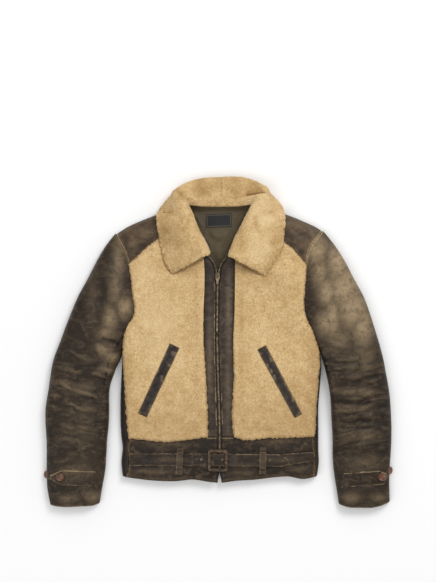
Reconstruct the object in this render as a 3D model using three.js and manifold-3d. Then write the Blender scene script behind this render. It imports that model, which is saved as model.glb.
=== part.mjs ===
// Shearling coat laid flat, face up. Millimetres, +Z up out of the coat's front, collar towards +Y.
// The wearer's right side is at -X. The origin lies under the back panel, on the surface below it.
import * as THREE from "three";
import { mergeVertices } from "three/addons/utils/BufferGeometryUtils.js";
import Module from "manifold-3d";

const wasm = await Module();
wasm.setup();

// Walls and gaps
const SEAM_GAP = 0.3;
const ARMHOLE_GAP = 1.2;
const UNDER_GAP = 1.2;
const FLOOR_WALL = 2.5;
const REST = FLOOR_WALL + SEAM_GAP;
const LEATHER = 2.4;
const SKIN = 2;
const PILE = 10;
const PRESSED_PILE = 4;
const COLLAR_HALF = 5.5;

// Heights of the front above the floor
const SIDE_LEVEL = 23;
const CROWN = 5;
const BAND_DROP = 3;
const HALF_CHEST = 240;
const FOLD_RADIUS = 22;
const SHOULDER_RADIUS = 26;
const SLEEVE_CROWN = 4;
const HEAD_BLEND = 60;
const SLEEVE_HEIGHT = [[270, 25], [200, 30], [60, 32], [-60, 30], [-250, 27], [-396, 22]];

// Trim
const BELT_HALF = 15;
const STRAP = 2.6;
const LOOP_HALF = 7.8;
const LIFT = 0.4;
const BUCKLE = { x: 0, y: -283, width: 46.5, height: 52, bar: 6.6, thickness: 4, corner: 6 };
const TAB = { lift: 1.2, wall: 2.2 };
const BUTTON_RADIUS = 9.5;
const BUTTON_PROFILE = [[0, 0], [8.2, 0], [9.5, 1], [9.5, 3.2], [8.8, 4], [7.8, 4], [7, 3.2], [0, 3.2]];
const ZIP = { level: -2.6, tapeWidth: 5, tapeWall: 1.2, chainWidth: 2.5, chainWall: 2.4, bottom: -317 };
const SLIDER = { x: -1, y: 158, width: 10, length: 17, thickness: 3 };
const PULL = { hinge: 2, wall: 1.4, bar: 1.4, width: 6.4, window: 3.2, windowEnd: 6, length: 22, rise: 1.1 };
const BRIDGE = { width: 1.8, clear: 1.8, leg: 1.4, top: 1.2 };
const LABEL = { x: 2, y: 292, width: 62, height: 32, wall: 1, turn: 0.03 };

const LOOKS = {
  leather: { color: 0x4a3a2e, roughness: 0.55, metalness: 0 },
  fleece: { color: 0xc9aa7a, roughness: 0.95, metalness: 0 },
  trim: { color: 0x40352b, roughness: 0.5, metalness: 0 },
  lining: { color: 0x3a3a2c, roughness: 0.7, metalness: 0 },
  label: { color: 0x232325, roughness: 0.8, metalness: 0 },
  bronze: { color: 0x615445, roughness: 0.35, metalness: 0.9 },
  button: { color: 0x6e3a20, roughness: 0.3, metalness: 0 },
  zipTape: { color: 0x2b241e, roughness: 0.85, metalness: 0 },
};

// Outlines of each half, as [x, y] seen from above
const HALVES = {
  right: {
    towardSide: -1,
    sleeveOuter: [[-247, 259], [-271, 226], [-293, 187], [-312, 149], [-334, 110], [-350, 72], [-365, 34],
      [-379, -5], [-394, -43], [-401, -82], [-406, -120], [-413, -158], [-413, -197], [-410, -235],
      [-410, -274], [-410, -312], [-409, -350], [-401, -391]],
    sleeveInner: [[-228, -21], [-238, -43], [-247, -62], [-254, -82], [-261, -101], [-264, -125],
      [-264, -160], [-265, -197], [-269, -235], [-271, -274], [-274, -312], [-281, -350], [-287, -387]],
    cuff: [[-401, -391], [-370, -394], [-335, -393], [-301, -391], [-287, -387]],
    armholeYoke: [[-245, 259], [-238, 243], [-230, 229], [-221, 209], [-214, 186]],
    armholeFront: [[-214, 186], [-208, 152], [-204, 113], [-200, 82], [-204, 60], [-217, 40], [-225, 17], [-228, -21]],
    shoulder: [[-245, 259], [-219, 276], [-191, 289], [-150, 305], [-96, 322]],
    yokeSeam: [[-214, 186], [-198, 200], [-168, 227], [-146, 245], [-72, 296]],
    yokeNeck: [[-96, 322], [-82, 312], [-72, 296]],
    frontNeck: [[-72, 296], [-52, 262], [-36, 228], [-43, 194]],
    placketEdge: [[-43, 194], [-36, 137], [-35, 5], [-29, -91], [-25, -211], [-26, -227]],
    placketTop: [[-43, 194], [-28, 206]],
    zipEdge: [[-28, 206], [-13, 184], [-7.8, 160], [-6.8, 137], [-7.8, 5], [-1.8, -211], [-1.9, -227]],
    frontSide: [[-228, -21], [-224, -86], [-219, -178], [-216, -209], [-213, -230]],
    bandTop: [[-213, -230], [-156, -236], [-121, -238], [-77, -234], [-43, -229], [-26, -227]],
    bodySide: [[-230.5, -40], [-232, -70], [-235, -130], [-235, -197], [-233, -230]],
    bandSeam: [[-213, -230], [-217, -255], [-213, -290], [-219, -325]],
    bandSide: [[-233, -230], [-230, -254], [-233, -290], [-230, -322]],
    bandZip: [[-1.9, -227], [-1.9, -317], [-1, -338]],
    hem: [[-219, -325], [-190, -329], [-150, -333], [-102, -334], [-60, -330], [-26, -335], [-1, -338]],
    welt: { from: [-104, -9], to: [-181, -175], halfWidths: [12, 11] },
    loop: { from: [-90, -254], to: [-94, -318] },
    tab: { from: [-290, -327], knee: [-376, -324], tip: [-403, -323], half: 18.5, tipHalf: 4 },
    buttons: [[-378, -323, 0, 0], [-410.5, -319, 45, 0.3]],
    creases: [[-379, -70, -259, -82, 3, 9], [-358, -76, -264, -100, 3, 8], [-379, -91, -302, -131, 4, 9],
      [-302, -131, -272, -132, 4, 9], [-358, -143, -305, -162, 4, 9], [-305, -162, -264, -160, 4, 9],
      [-300, -2, -251, -36, 4, 10], [-272, 6, -235, -6, -7, 9], [-262, 150, -285, 40, -3, 14],
      [-400, -190, -300, -205, 2.5, 10], [-395, -262, -290, -250, -2, 11]],
  },
  left: {
    towardSide: 1,
    sleeveOuter: [[253, 266], [283, 226], [307, 187], [326, 149], [348, 110], [362, 72], [374, 34],
      [386, -5], [396, -43], [403, -82], [410, -120], [413, -158], [415, -197], [415, -235],
      [413, -274], [410, -312], [410, -350], [411, -384]],
    sleeveInner: [[236, 2], [247, -22], [256, -50], [264, -82], [271, -120], [274, -158], [276, -197],
      [278, -235], [278, -274], [281, -312], [287, -350], [293, -389]],
    cuff: [[411, -384], [377, -395], [349, -396], [314, -395], [293, -389]],
    armholeYoke: [[251, 266], [242, 255], [232, 243], [221, 226], [214, 204], [212, 184]],
    armholeFront: [[212, 184], [210, 156], [207, 124], [206, 88], [209, 68], [217, 45], [228, 25], [236, 2]],
    shoulder: [[251, 266], [236, 276], [215, 286], [163, 307], [104, 323]],
    yokeSeam: [[212, 184], [193, 207], [176, 225], [159, 238], [86, 292]],
    yokeNeck: [[104, 323], [92, 312], [86, 292]],
    frontNeck: [[86, 292], [62, 262], [42, 228], [45, 190]],
    placketEdge: [[45, 190], [42, 137], [37, 5], [38, -86], [35, -178], [38, -227]],
    placketTop: [[45, 190], [26, 204]],
    zipEdge: [[26, 204], [12, 184], [5.8, 160], [4.8, 137], [3.8, 5], [9.8, -211], [9.7, -227]],
    frontSide: [[236, 2], [243, -30], [240, -86], [235, -149], [232, -209], [230, -226]],
    bandTop: [[230, -226], [181, -228], [134, -229], [89, -233], [63, -233], [38, -227]],
    bodySide: [[243, -19], [246, -34], [248.5, -62], [247, -90], [242, -158], [242, -197], [242, -226]],
    bandSeam: [[230, -226], [232, -262], [234, -290], [232, -324]],
    bandSide: [[242, -226], [242, -262], [243, -290], [239, -321]],
    bandZip: [[9.7, -227], [9.3, -317], [9, -338]],
    hem: [[232, -324], [204, -329], [169, -323], [134, -325], [92, -330], [45, -333], [9, -338]],
    welt: { from: [104, -13], to: [192, -177], halfWidths: [11, 9.5] },
    loop: { from: [108, -252], to: [107, -317] },
    tab: { from: [300, -330], knee: [392, -324], tip: [405, -320], half: 17.5, tipHalf: 6 },
    buttons: [[393, -323, 0, 0], [411.5, -309, -45, -0.2]],
    creases: [[277, -108, 316, -100, -4, 8], [316, -100, 399, -80, -4, 8], [281, -149, 341, -146, -4, 8],
      [341, -146, 373, -140, -4, 8], [285, -135, 375, -127, 3, 8], [283, -177, 330, -170, -3, 8],
      [330, -170, 382, -164, -3, 8], [288, -194, 395, -192, -3, 8], [288, -209, 373, -203, -3, 7],
      [298, -241, 395, -228, -2, 9], [262, 150, 290, 30, -3, 14]],
  },
};

// The collar's inner and outer edge seen from above, and how far it is turned from a side leaf, 0,
// to the roll behind the neck, 1
const COLLAR = [
  { inner: [-18, 212], outer: [-107, 166], back: 0 },
  { inner: [-27, 236], outer: [-125, 184], back: 0 },
  { inner: [-40, 262], outer: [-137, 228], back: 0 },
  { inner: [-52, 288], outer: [-147, 277], back: 0 },
  { inner: [-62, 309], outer: [-144, 315], back: 0 },
  { inner: [-69, 325], outer: [-128, 338], back: 0.1 },
  { inner: [-69, 331], outer: [-107, 359], back: 0.4 },
  { inner: [-58, 331], outer: [-80, 380], back: 0.8 },
  { inner: [-38, 330], outer: [-42, 392], back: 1 },
  { inner: [5, 330], outer: [8, 396], back: 1 },
  { inner: [46, 330], outer: [52, 396], back: 1 },
  { inner: [67, 331], outer: [86, 388], back: 0.8 },
  { inner: [78, 331], outer: [113, 372], back: 0.4 },
  { inner: [79, 325], outer: [137, 349], back: 0.1 },
  { inner: [72, 311], outer: [156, 322], back: 0 },
  { inner: [60, 289], outer: [161, 292], back: 0 },
  { inner: [48, 268], outer: [158, 246], back: 0 },
  { inner: [35, 240], outer: [144, 205], back: 0 },
  { inner: [22.5, 207], outer: [112, 161], back: 0 },
];
const TURN_SCALE = 10;
const SIDE_HOOK = { seam: 8, roll: 26, rollHeight: 61, reach: 22 };
const BACK_HOOK = { seam: 0, rollInset: 5.5, edge: 5, seamHeight: 21, rollHeight: 22, edgeHeight: 6, drop: 24 };

const clamp = (value, low, high) => Math.min(Math.max(value, low), high);
const mix = (a, b, share) => a + (b - a) * share;
const soft = (share) => {
  const t = clamp(share, 0, 1);
  return t * t * (3 - 2 * t);
};
const evenly = (count) => Array.from({ length: count + 1 }, (_, i) => i / count);
const vector = ([x, y, z = 0]) => new THREE.Vector3(x, y, z);

// The value beside a key in a table of [key, value] rows with falling keys
function lookUp(rows, key) {
  const next = rows.findIndex(([rowKey]) => rowKey <= key);
  if (next === 0) return rows[0][1];
  if (next < 0) return rows[rows.length - 1][1];
  const [highKey, highValue] = rows[next - 1];
  const [lowKey, lowValue] = rows[next];
  return mix(lowValue, highValue, (key - lowKey) / (highKey - lowKey));
}

// Height of the leather front above the floor
function level(x, y) {
  const crown = CROWN * (1 - (x / HALF_CHEST) ** 2);
  const band = BAND_DROP * (1 - soft((y + 235) / 90));
  return SIDE_LEVEL + crown - band;
}

function distanceToLine(x, y, [x1, y1], [x2, y2]) {
  const along = clamp(((x - x1) * (x2 - x1) + (y - y1) * (y2 - y1)) / ((x2 - x1) ** 2 + (y2 - y1) ** 2), 0, 1);
  return Math.hypot(x - mix(x1, x2, along), y - mix(y1, y2, along));
}

// Creases rise or sink along lines, as [x1, y1, x2, y2, height, half width]
function relief(creases, x, y) {
  return creases.reduce((sum, [x1, y1, x2, y2, height, halfWidth]) => {
    const distance = distanceToLine(x, y, [x1, y1], [x2, y2]);
    return sum + height * Math.exp(-((distance / halfWidth) ** 2));
  }, 0);
}

// Points at the given shares of the length of a smooth line
function spread(points, shares) {
  const curve = new THREE.CatmullRomCurve3(points.map(vector), false, "centripetal");
  curve.arcLengthDivisions = 300;
  return shares.map((share) => curve.getPointAt(share));
}

// A grid between four edges. across and down give the shares of its columns and rows.
function patch(top, bottom, first, last, across, down) {
  const corners = [top[0], top[top.length - 1], bottom[0], bottom[bottom.length - 1]];
  return down.map((v, j) => across.map((u, i) => {
    const point = new THREE.Vector3();
    point.addScaledVector(top[i], 1 - v).addScaledVector(bottom[i], v);
    point.addScaledVector(first[j], 1 - u).addScaledVector(last[j], u);
    const weights = [(1 - u) * (1 - v), u * (1 - v), (1 - u) * v, u * v];
    corners.forEach((corner, k) => point.addScaledVector(corner, -weights[k]));
    return point;
  }));
}

// Moves the rim of a grid inwards, so that the next piece starts a seam gap away
function inset(grid, { top = SEAM_GAP, bottom = SEAM_GAP, first = SEAM_GAP, last = SEAM_GAP } = {}) {
  const pull = (point, toward, gap) => {
    const way = toward.clone().sub(point).setLength(gap / 2);
    point.add(way);
  };
  for (const row of grid) {
    pull(row[0], row[1], first);
    pull(row[row.length - 1], row[row.length - 2], last);
  }
  grid[0].forEach((point, i) => pull(point, grid[1][i], top));
  grid[grid.length - 1].forEach((point, i) => pull(point, grid[grid.length - 2][i], bottom));
  return grid;
}

// Turns a geometry's faces outwards and drops faces with no area
function facingOut(geometry) {
  geometry.deleteAttribute("normal");
  geometry.deleteAttribute("uv");
  const merged = mergeVertices(geometry, 1e-4);
  const position = merged.getAttribute("position");
  const corners = Array.from(merged.index.array);
  const kept = [];
  let volume = 0;
  for (let i = 0; i < corners.length; i += 3) {
    const [a, b, c] = corners.slice(i, i + 3);
    if (a === b || b === c || c === a) continue;
    const [pa, pb, pc] = [a, b, c].map((k) => new THREE.Vector3().fromBufferAttribute(position, k));
    volume += pa.dot(pb.cross(pc));
    kept.push([a, b, c]);
  }
  merged.setIndex(kept.flatMap(([a, b, c]) => (volume > 0 ? [a, b, c] : [a, c, b])));
  return merged;
}

// A closed wall between an outer and an inner grid of points
function wall(outer, inner) {
  const rows = outer.length;
  const columns = outer[0].length;
  const positions = [...outer.flat(), ...inner.flat()].flatMap((p) => [p.x, p.y, p.z]);
  const at = (side, j, i) => side * rows * columns + j * columns + i;
  const index = [];
  const quad = (a, b, c, d) => index.push(a, b, c, a, c, d);
  for (let j = 0; j < rows - 1; j += 1) {
    for (let i = 0; i < columns - 1; i += 1) {
      quad(at(0, j, i), at(0, j, i + 1), at(0, j + 1, i + 1), at(0, j + 1, i));
      quad(at(1, j, i), at(1, j + 1, i), at(1, j + 1, i + 1), at(1, j, i + 1));
    }
    quad(at(0, j, 0), at(0, j + 1, 0), at(1, j + 1, 0), at(1, j, 0));
    quad(at(0, j + 1, columns - 1), at(0, j, columns - 1), at(1, j, columns - 1), at(1, j + 1, columns - 1));
  }
  for (let i = 0; i < columns - 1; i += 1) {
    quad(at(0, 0, i + 1), at(0, 0, i), at(1, 0, i), at(1, 0, i + 1));
    quad(at(0, rows - 1, i), at(0, rows - 1, i + 1), at(1, rows - 1, i + 1), at(1, rows - 1, i));
  }
  const geometry = new THREE.BufferGeometry();
  geometry.setAttribute("position", new THREE.Float32BufferAttribute(positions, 3));
  geometry.setIndex(index);
  return facingOut(geometry);
}

// A wall whose plan is a grid, between two heights worked out at each point
function layer(grid, topAt, bottomAt) {
  const lift = (heightAt) => grid.map((row, j) => row.map((p, i) => (
    new THREE.Vector3(p.x, p.y, heightAt(p.x, p.y, i, j)))));
  return wall(lift(topAt), lift(bottomAt));
}

// A wall that falls to the floor round a fold. Each cell of folds holds the way in from the fold,
// the distance from it, the fold's radius and the height reached past it.
function foldedWall(grid, foldAt) {
  const outer = [];
  const inner = [];
  grid.forEach((row, j) => {
    outer.push([]);
    inner.push([]);
    row.forEach((p, i) => {
      const { way, distance, radius, top } = foldAt(p, i, j);
      const share = clamp(distance / radius, 0, 1);
      const rise = Math.sqrt(1 - (1 - share) ** 2);
      const z = REST + (top - REST) * rise;
      outer[j].push(new THREE.Vector3(p.x, p.y, z));
      const shift = LEATHER * (1 - share);
      inner[j].push(new THREE.Vector3(p.x + way.x * shift, p.y + way.y * shift, z - LEATHER * rise));
    });
  });
  return wall(outer, inner);
}

// A strap along a line of [x, y] points, with a half width at each, lying at baseAt(x, y)
function strap(points, halfWidths, baseAt, thickness, columns = 2) {
  const line = points.map(vector);
  const grid = line.map((point, j) => {
    const before = line[Math.max(j - 1, 0)];
    const after = line[Math.min(j + 1, line.length - 1)];
    const along = after.clone().sub(before).normalize();
    const side = new THREE.Vector3(-along.y, along.x, 0);
    return evenly(columns).map((share) => point.clone().addScaledVector(side, mix(-1, 1, share) * halfWidths[j]));
  });
  return layer(grid, (x, y) => baseAt(x, y) + thickness, baseAt);
}

function toSolid(geometry) {
  return new wasm.Manifold(new wasm.Mesh({
    numProp: 3,
    vertProperties: new Float32Array(geometry.getAttribute("position").array),
    triVerts: new Uint32Array(geometry.index.array),
  }));
}

function fromSolid(solid) {
  const mesh = solid.getMesh();
  const geometry = new THREE.BufferGeometry();
  geometry.setAttribute("position", new THREE.Float32BufferAttribute(mesh.vertProperties, 3));
  geometry.setIndex(Array.from(mesh.triVerts));
  return geometry;
}

const coat = new THREE.Group();

function add(name, geometry, look) {
  const mesh = new THREE.Mesh(geometry, new THREE.MeshStandardMaterial(LOOKS[look]));
  mesh.name = name;
  coat.add(mesh);
  return mesh;
}

// Collar: a thick fleece band in a hook section, seam, roll and edge, carried round the neck
function inCollar(x, y) {
  const outline = [...COLLAR.map(({ outer }) => outer), ...COLLAR.map(({ inner }) => inner).reverse()];
  let inside = false;
  let nearest = Infinity;
  outline.forEach((a, k) => {
    const b = outline[(k + 1) % outline.length];
    nearest = Math.min(nearest, distanceToLine(x, y, a, b));
    if ((a[1] > y) !== (b[1] > y) && x < ((b[0] - a[0]) * (y - a[1])) / (b[1] - a[1]) + a[0]) inside = !inside;
  });
  return inside ? nearest : -nearest;
}

const pileAt = (x, y) => mix(PILE, PRESSED_PILE, soft((inCollar(x, y) + 10) / 12));

// How far a point lies inside the shoulder line, and the height of what lies under the collar there
function underCollar(x, y) {
  const { shoulder } = HALVES[x < 0 ? "right" : "left"];
  let nearest = Infinity;
  let below = y < 322;
  for (let k = 0; k < shoulder.length - 1; k += 1) {
    const [a, b] = [shoulder[k], shoulder[k + 1]];
    nearest = Math.min(nearest, distanceToLine(x, y, a, b));
    const share = (x - a[0]) / (b[0] - a[0]);
    if (share >= 0 && share <= 1) below = y < mix(a[1], b[1], share);
  }
  if (!below) return REST * soft(1 - nearest / 8);
  const share = clamp(nearest / SHOULDER_RADIUS, 0, 1);
  return REST + (level(x, y) + PRESSED_PILE - REST) * Math.sqrt(1 - (1 - share) ** 2);
}

// The highest ground within the collar's half thickness of a point
function groundNear(x, y) {
  const reach = COLLAR_HALF;
  const around = [[0, 0], [reach, 0], [-reach, 0], [0, reach], [0, -reach]];
  return Math.max(...around.map(([dx, dy]) => underCollar(x + dx, y + dy)));
}

function collarGeometry() {
  const stations = evenly(44);
  const column = (pick) => spread(COLLAR.map(pick), stations);
  const inner = column(({ inner: [x, y] }) => [x, y]);
  const outer = column(({ outer: [x, y] }) => [x, y]);
  const turned = column(({ inner: [x, y], back }) => [x, y, back * TURN_SCALE]).map((p) => p.z / TURN_SCALE);
  const samples = evenly(13);
  const middle = stations.map((_, j) => {
    const back = clamp(turned[j], 0, 1);
    const start = inner[j];
    const reach = outer[j].clone().sub(start);
    const depth = reach.length();
    const way = reach.normalize();
    const at = (distance, z) => new THREE.Vector3(start.x + way.x * distance, start.y + way.y * distance, z);
    const ground = underCollar(outer[j].x - way.x * 8, outer[j].y - way.y * 8);
    const seamGround = level(start.x, start.y) + PRESSED_PILE + SEAM_GAP;
    const seam = at(mix(SIDE_HOOK.seam, BACK_HOOK.seam, back), mix(seamGround, BACK_HOOK.seamHeight, back));
    const roll = at(mix(SIDE_HOOK.roll, depth - BACK_HOOK.rollInset, back),
      mix(SIDE_HOOK.rollHeight, BACK_HOOK.rollHeight, back));
    const edge = at(mix(depth - 1, BACK_HOOK.edge, back),
      mix(ground + COLLAR_HALF + SEAM_GAP, BACK_HOOK.edgeHeight, back));
    const centre = roll.clone().multiplyScalar(8).sub(seam).sub(edge).divideScalar(6);
    const half = new THREE.Vector3(way.x * SIDE_HOOK.reach, way.y * SIDE_HOOK.reach, -BACK_HOOK.drop * back);
    const hook = new THREE.CubicBezierCurve3(seam, centre.clone().sub(half), centre.clone().add(half), edge);
    return samples.map((share) => {
      const p = hook.getPoint(share);
      const clear = share > 0.5 ? groundNear(p.x, p.y) + COLLAR_HALF + SEAM_GAP : 0;
      p.z = Math.max(p.z, COLLAR_HALF + 0.1, clear);
      return p;
    });
  });
  const offset = (sign) => middle.map((row, j) => row.map((p, i) => {
    const last = row.length - 1;
    const alongHook = row[Math.min(i + 1, last)].clone().sub(row[Math.max(i - 1, 0)]);
    const nextRow = middle[Math.min(j + 1, middle.length - 1)][i];
    const alongBand = nextRow.clone().sub(middle[Math.max(j - 1, 0)][i]);
    const normal = alongHook.cross(alongBand).normalize();
    const rim = Math.min(i === last ? 0.45 : 1, i === 0 ? 0.8 : 1, j === 0 || j === middle.length - 1 ? 0.6 : 1);
    return p.clone().addScaledVector(normal, sign * COLLAR_HALF * rim);
  }));
  return wall(offset(1), offset(-1));
}
add("collar", collarGeometry(), "fleece");

// Columns and rows shared by neighbouring panels, closer together at their edges
const YOKE_SHARES = [0, 0.04, 0.2, 0.4, 0.6, 0.8, 1];
const NECK_SHARES = [0, 0.35, 0.7, 1];
const FRONT_ACROSS = [0, 0.02, 0.12, 0.25, 0.37, 0.49, 0.62, 0.76, 0.92, 1];
const FRONT_DOWN = [0, 0.012, 0.06, 0.13, 0.2, 0.28, 0.36, 0.43, 0.49, 0.55, 0.61, 0.67, 0.73, 0.79, 0.85,
  0.91, 0.96, 0.988, 1];
const UNDERARM_ROW = 9;
const STRIP_START = 0.09;
const STRIP_GAP = 1.4;
const PLACKET_ACROSS = [0, 0.5, 1];
const BAND_DOWN = [0, 0.2, 0.45, 0.7, 0.9, 1];
const FOLD_ANGLES = [90, 68, 48, 30, 14, 0];
const STRIP_ACROSS = FOLD_ANGLES.map((angle) => Math.cos(THREE.MathUtils.degToRad(angle)));

const bandTopLevel = (x, y) => level(x, y) + LIFT;

const sleeveCrown = (y, share) => lookUp(SLEEVE_HEIGHT, y) + SLEEVE_CROWN * 4 * share * (1 - share);

function buildHalf(name, half) {
  // Side edge of the fleece front: the armhole above the underarm, then the side seam
  const armholeRows = FRONT_DOWN.slice(0, UNDERARM_ROW + 1).map((v) => v / FRONT_DOWN[UNDERARM_ROW]);
  const seamRows = FRONT_DOWN.slice(UNDERARM_ROW).map((v) => (v - FRONT_DOWN[UNDERARM_ROW]) / (1 - FRONT_DOWN[UNDERARM_ROW]));
  const armhole = spread(half.armholeFront, armholeRows);
  const sideSeam = spread(half.frontSide, seamRows);
  const frontSide = [...armhole, ...sideSeam.slice(1)];
  const placketEdge = spread(half.placketEdge, FRONT_DOWN);
  const yokeSeam = spread(half.yokeSeam, YOKE_SHARES);
  const frontTop = [...yokeSeam, ...spread(half.frontNeck, NECK_SHARES).slice(1)];
  const bandTop = spread(half.bandTop, FRONT_ACROSS);

  // Fleece front, its pile lower at its edges, with the pocket welt set into it
  const front = inset(patch(frontTop, bandTop, frontSide, placketEdge, FRONT_ACROSS, FRONT_DOWN));
  const lastColumn = FRONT_ACROSS.length - 1;
  const lastRow = FRONT_DOWN.length - 1;
  const edgePile = (i, j) => {
    const fromEdge = Math.min(i, lastColumn - i, j, lastRow - j);
    return fromEdge === 0 ? 0.45 : 1;
  };
  const fleeceTop = (x, y, i, j) => level(x, y) + pileAt(x, y) * edgePile(i, j);
  const fleece = layer(front, fleeceTop, (x, y) => level(x, y) - SKIN);
  const weltShares = evenly(8);
  const [weltFrom, weltTo] = [vector(half.welt.from), vector(half.welt.to)];
  const weltPoints = (extra) => {
    const way = weltTo.clone().sub(weltFrom).setLength(extra);
    const [from, to] = [weltFrom.clone().sub(way), weltTo.clone().add(way)];
    return weltShares.map((share) => from.clone().lerp(to, share).toArray());
  };
  const weltHalf = (extra) => weltShares.map((share) => mix(...half.welt.halfWidths, share) + extra);
  const weltBase = (x, y) => level(x, y) + 3.3;
  const pocket = strap(weltPoints(SEAM_GAP), weltHalf(SEAM_GAP), (x, y) => weltBase(x, y) - SEAM_GAP, PILE * 2);
  add(`front_${name}`, fromSolid(toSolid(fleece).subtract(toSolid(pocket))), "fleece");
  add(`welt_${name}`, strap(weltPoints(0), weltHalf(0), weltBase, 4.5), "trim");

  // Yoke over the shoulder
  const yokeDown = [0, 0.03, 0.12, 0.26, 0.45, 0.7, 1];
  const yoke = inset(patch(spread(half.shoulder, YOKE_SHARES), yokeSeam, spread(half.armholeYoke, yokeDown),
    spread(half.yokeNeck, yokeDown), YOKE_SHARES, yokeDown), { first: ARMHOLE_GAP });
  add(`yoke_${name}`, foldedWall(yoke, (p, i, j) => {
    const edge = yoke[0][i];
    const way = yoke[yoke.length - 1][i].clone().sub(edge).normalize();
    return { way, distance: j === 0 ? 0 : p.distanceTo(edge), radius: SHOULDER_RADIUS, top: level(p.x, p.y) };
  }), "leather");

  // Leather strip round the side fold, and the band's side below it
  const strip = (seam, side) => {
    const grid = inset(seam.map((from, j) => STRIP_ACROSS.map((share) => from.clone().lerp(side[j], share))),
      { first: STRIP_GAP, last: 0 });
    return foldedWall(grid, (p, i, j) => {
      const row = grid[j];
      const edge = row[row.length - 1];
      const width = edge.distanceTo(row[0]);
      const way = row[0].clone().sub(edge).normalize();
      const distance = i === row.length - 1 ? 0 : p.distanceTo(edge);
      return { way, distance, radius: Math.max(width, LEATHER + 1), top: level(row[0].x, row[0].y) };
    });
  };
  const bandSeam = spread(half.bandSeam, BAND_DOWN);
  const stripSeam = spread(half.frontSide, seamRows.map((share) => mix(STRIP_START, 1, share)));
  add(`side_${name}`, strip(stripSeam, spread(half.bodySide, seamRows)), "leather");
  add(`waistband_side_${name}`, strip(bandSeam, spread(half.bandSide, BAND_DOWN)), "leather");

  // Placket, from the collar to the band
  const zipEdge = spread(half.zipEdge, FRONT_DOWN);
  const placketTop = spread(half.placketTop, PLACKET_ACROSS);
  const placketBottom = PLACKET_ACROSS.map((u) => placketEdge[lastRow].clone().lerp(zipEdge[lastRow], u));
  const placket = inset(patch(placketTop, placketBottom, placketEdge, zipEdge, PLACKET_ACROSS, FRONT_DOWN));
  add(`placket_${name}`, layer(placket, (x, y) => level(x, y) + 1, (x, y) => level(x, y) + 1 - LEATHER), "leather");

  // Waistband front
  const across = [...FRONT_ACROSS.map((u) => u * 0.88), ...PLACKET_ACROSS.slice(1).map((u) => mix(0.88, 1, u))];
  const band = inset(patch([...bandTop, ...placketBottom.slice(1)], spread(half.hem, across), bandSeam,
    spread(half.bandZip, BAND_DOWN), across, BAND_DOWN));
  add(`waistband_front_${name}`, layer(band, bandTopLevel, (x, y) => level(x, y) + LIFT - LEATHER), "leather");

  // Sleeve: an upper leather wall that falls to the floor at both folds, on a flat under wall
  const sleeveAcross = [0, 0.012, 0.055, 0.12, 0.24, 0.42, 0.6, 0.78, 0.85, 0.915, 0.955, 0.988, 1];
  const sleeveDown = [...evenly(10).map((v) => v * 0.38), ...evenly(24).slice(1).map((v) => mix(0.38, 0.74, v)),
    ...evenly(7).slice(1).map((v) => mix(0.74, 1, v))];
  const yokeLength = 0.27;
  const armholeAt = (u) => (u < yokeLength
    ? spread(half.armholeYoke, [u / yokeLength])[0]
    : spread(half.armholeFront, [(u - yokeLength) / (1 - yokeLength)])[0]);
  const sleeveGrid = (columns, rows, gap) => inset(patch(columns.map(armholeAt), spread(half.cuff, columns),
    spread(half.sleeveOuter, rows), spread(half.sleeveInner, rows), columns, rows),
  { top: gap, first: 0, last: 0, bottom: 0 });
  const upper = sleeveGrid(sleeveAcross, sleeveDown, ARMHOLE_GAP);
  add(`sleeve_top_${name}`, foldedWall(upper, (p, i, j) => {
    const row = upper[j];
    const [from, to] = [row[0], row[row.length - 1]];
    const share = sleeveAcross[i];
    const width = from.distanceTo(to);
    const way = (share < 0.5 ? to.clone().sub(from) : from.clone().sub(to)).normalize();
    const along = p.distanceTo(upper[0][i]);
    const full = sleeveCrown(p.y, share) + relief(half.creases, p.x, p.y);
    const top = mix(level(p.x, p.y), full, soft(along / HEAD_BLEND));
    return { way, distance: Math.min(share, 1 - share) * width, radius: FOLD_RADIUS, top };
  }), "leather");
  const underAcross = [0, 0.1, 0.27, 0.42, 0.56, 0.66, 0.72, 0.78, 0.84, 0.89, 0.95, 1];
  const under = sleeveGrid(underAcross, evenly(14), UNDER_GAP);
  add(`sleeve_under_${name}`, layer(under, () => FLOOR_WALL, () => 0), "leather");

  // Height of the sleeve at a point near the cuff
  const edgeAt = (table, y) => lookUp(table.map(([px, py]) => [py, px]), y);
  const sleeveTop = (x, y) => {
    const [outer, inner] = [edgeAt(half.sleeveOuter, y), edgeAt(half.sleeveInner, y)];
    const width = Math.abs(outer - inner);
    const share = clamp((x - outer) / (inner - outer), 0, 1);
    const q = clamp((Math.min(share, 1 - share) * width) / FOLD_RADIUS, 0, 1);
    const top = sleeveCrown(y, share) + relief(half.creases, x, y);
    return REST + (top - REST) * Math.sqrt(1 - (1 - q) ** 2);
  };

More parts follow.
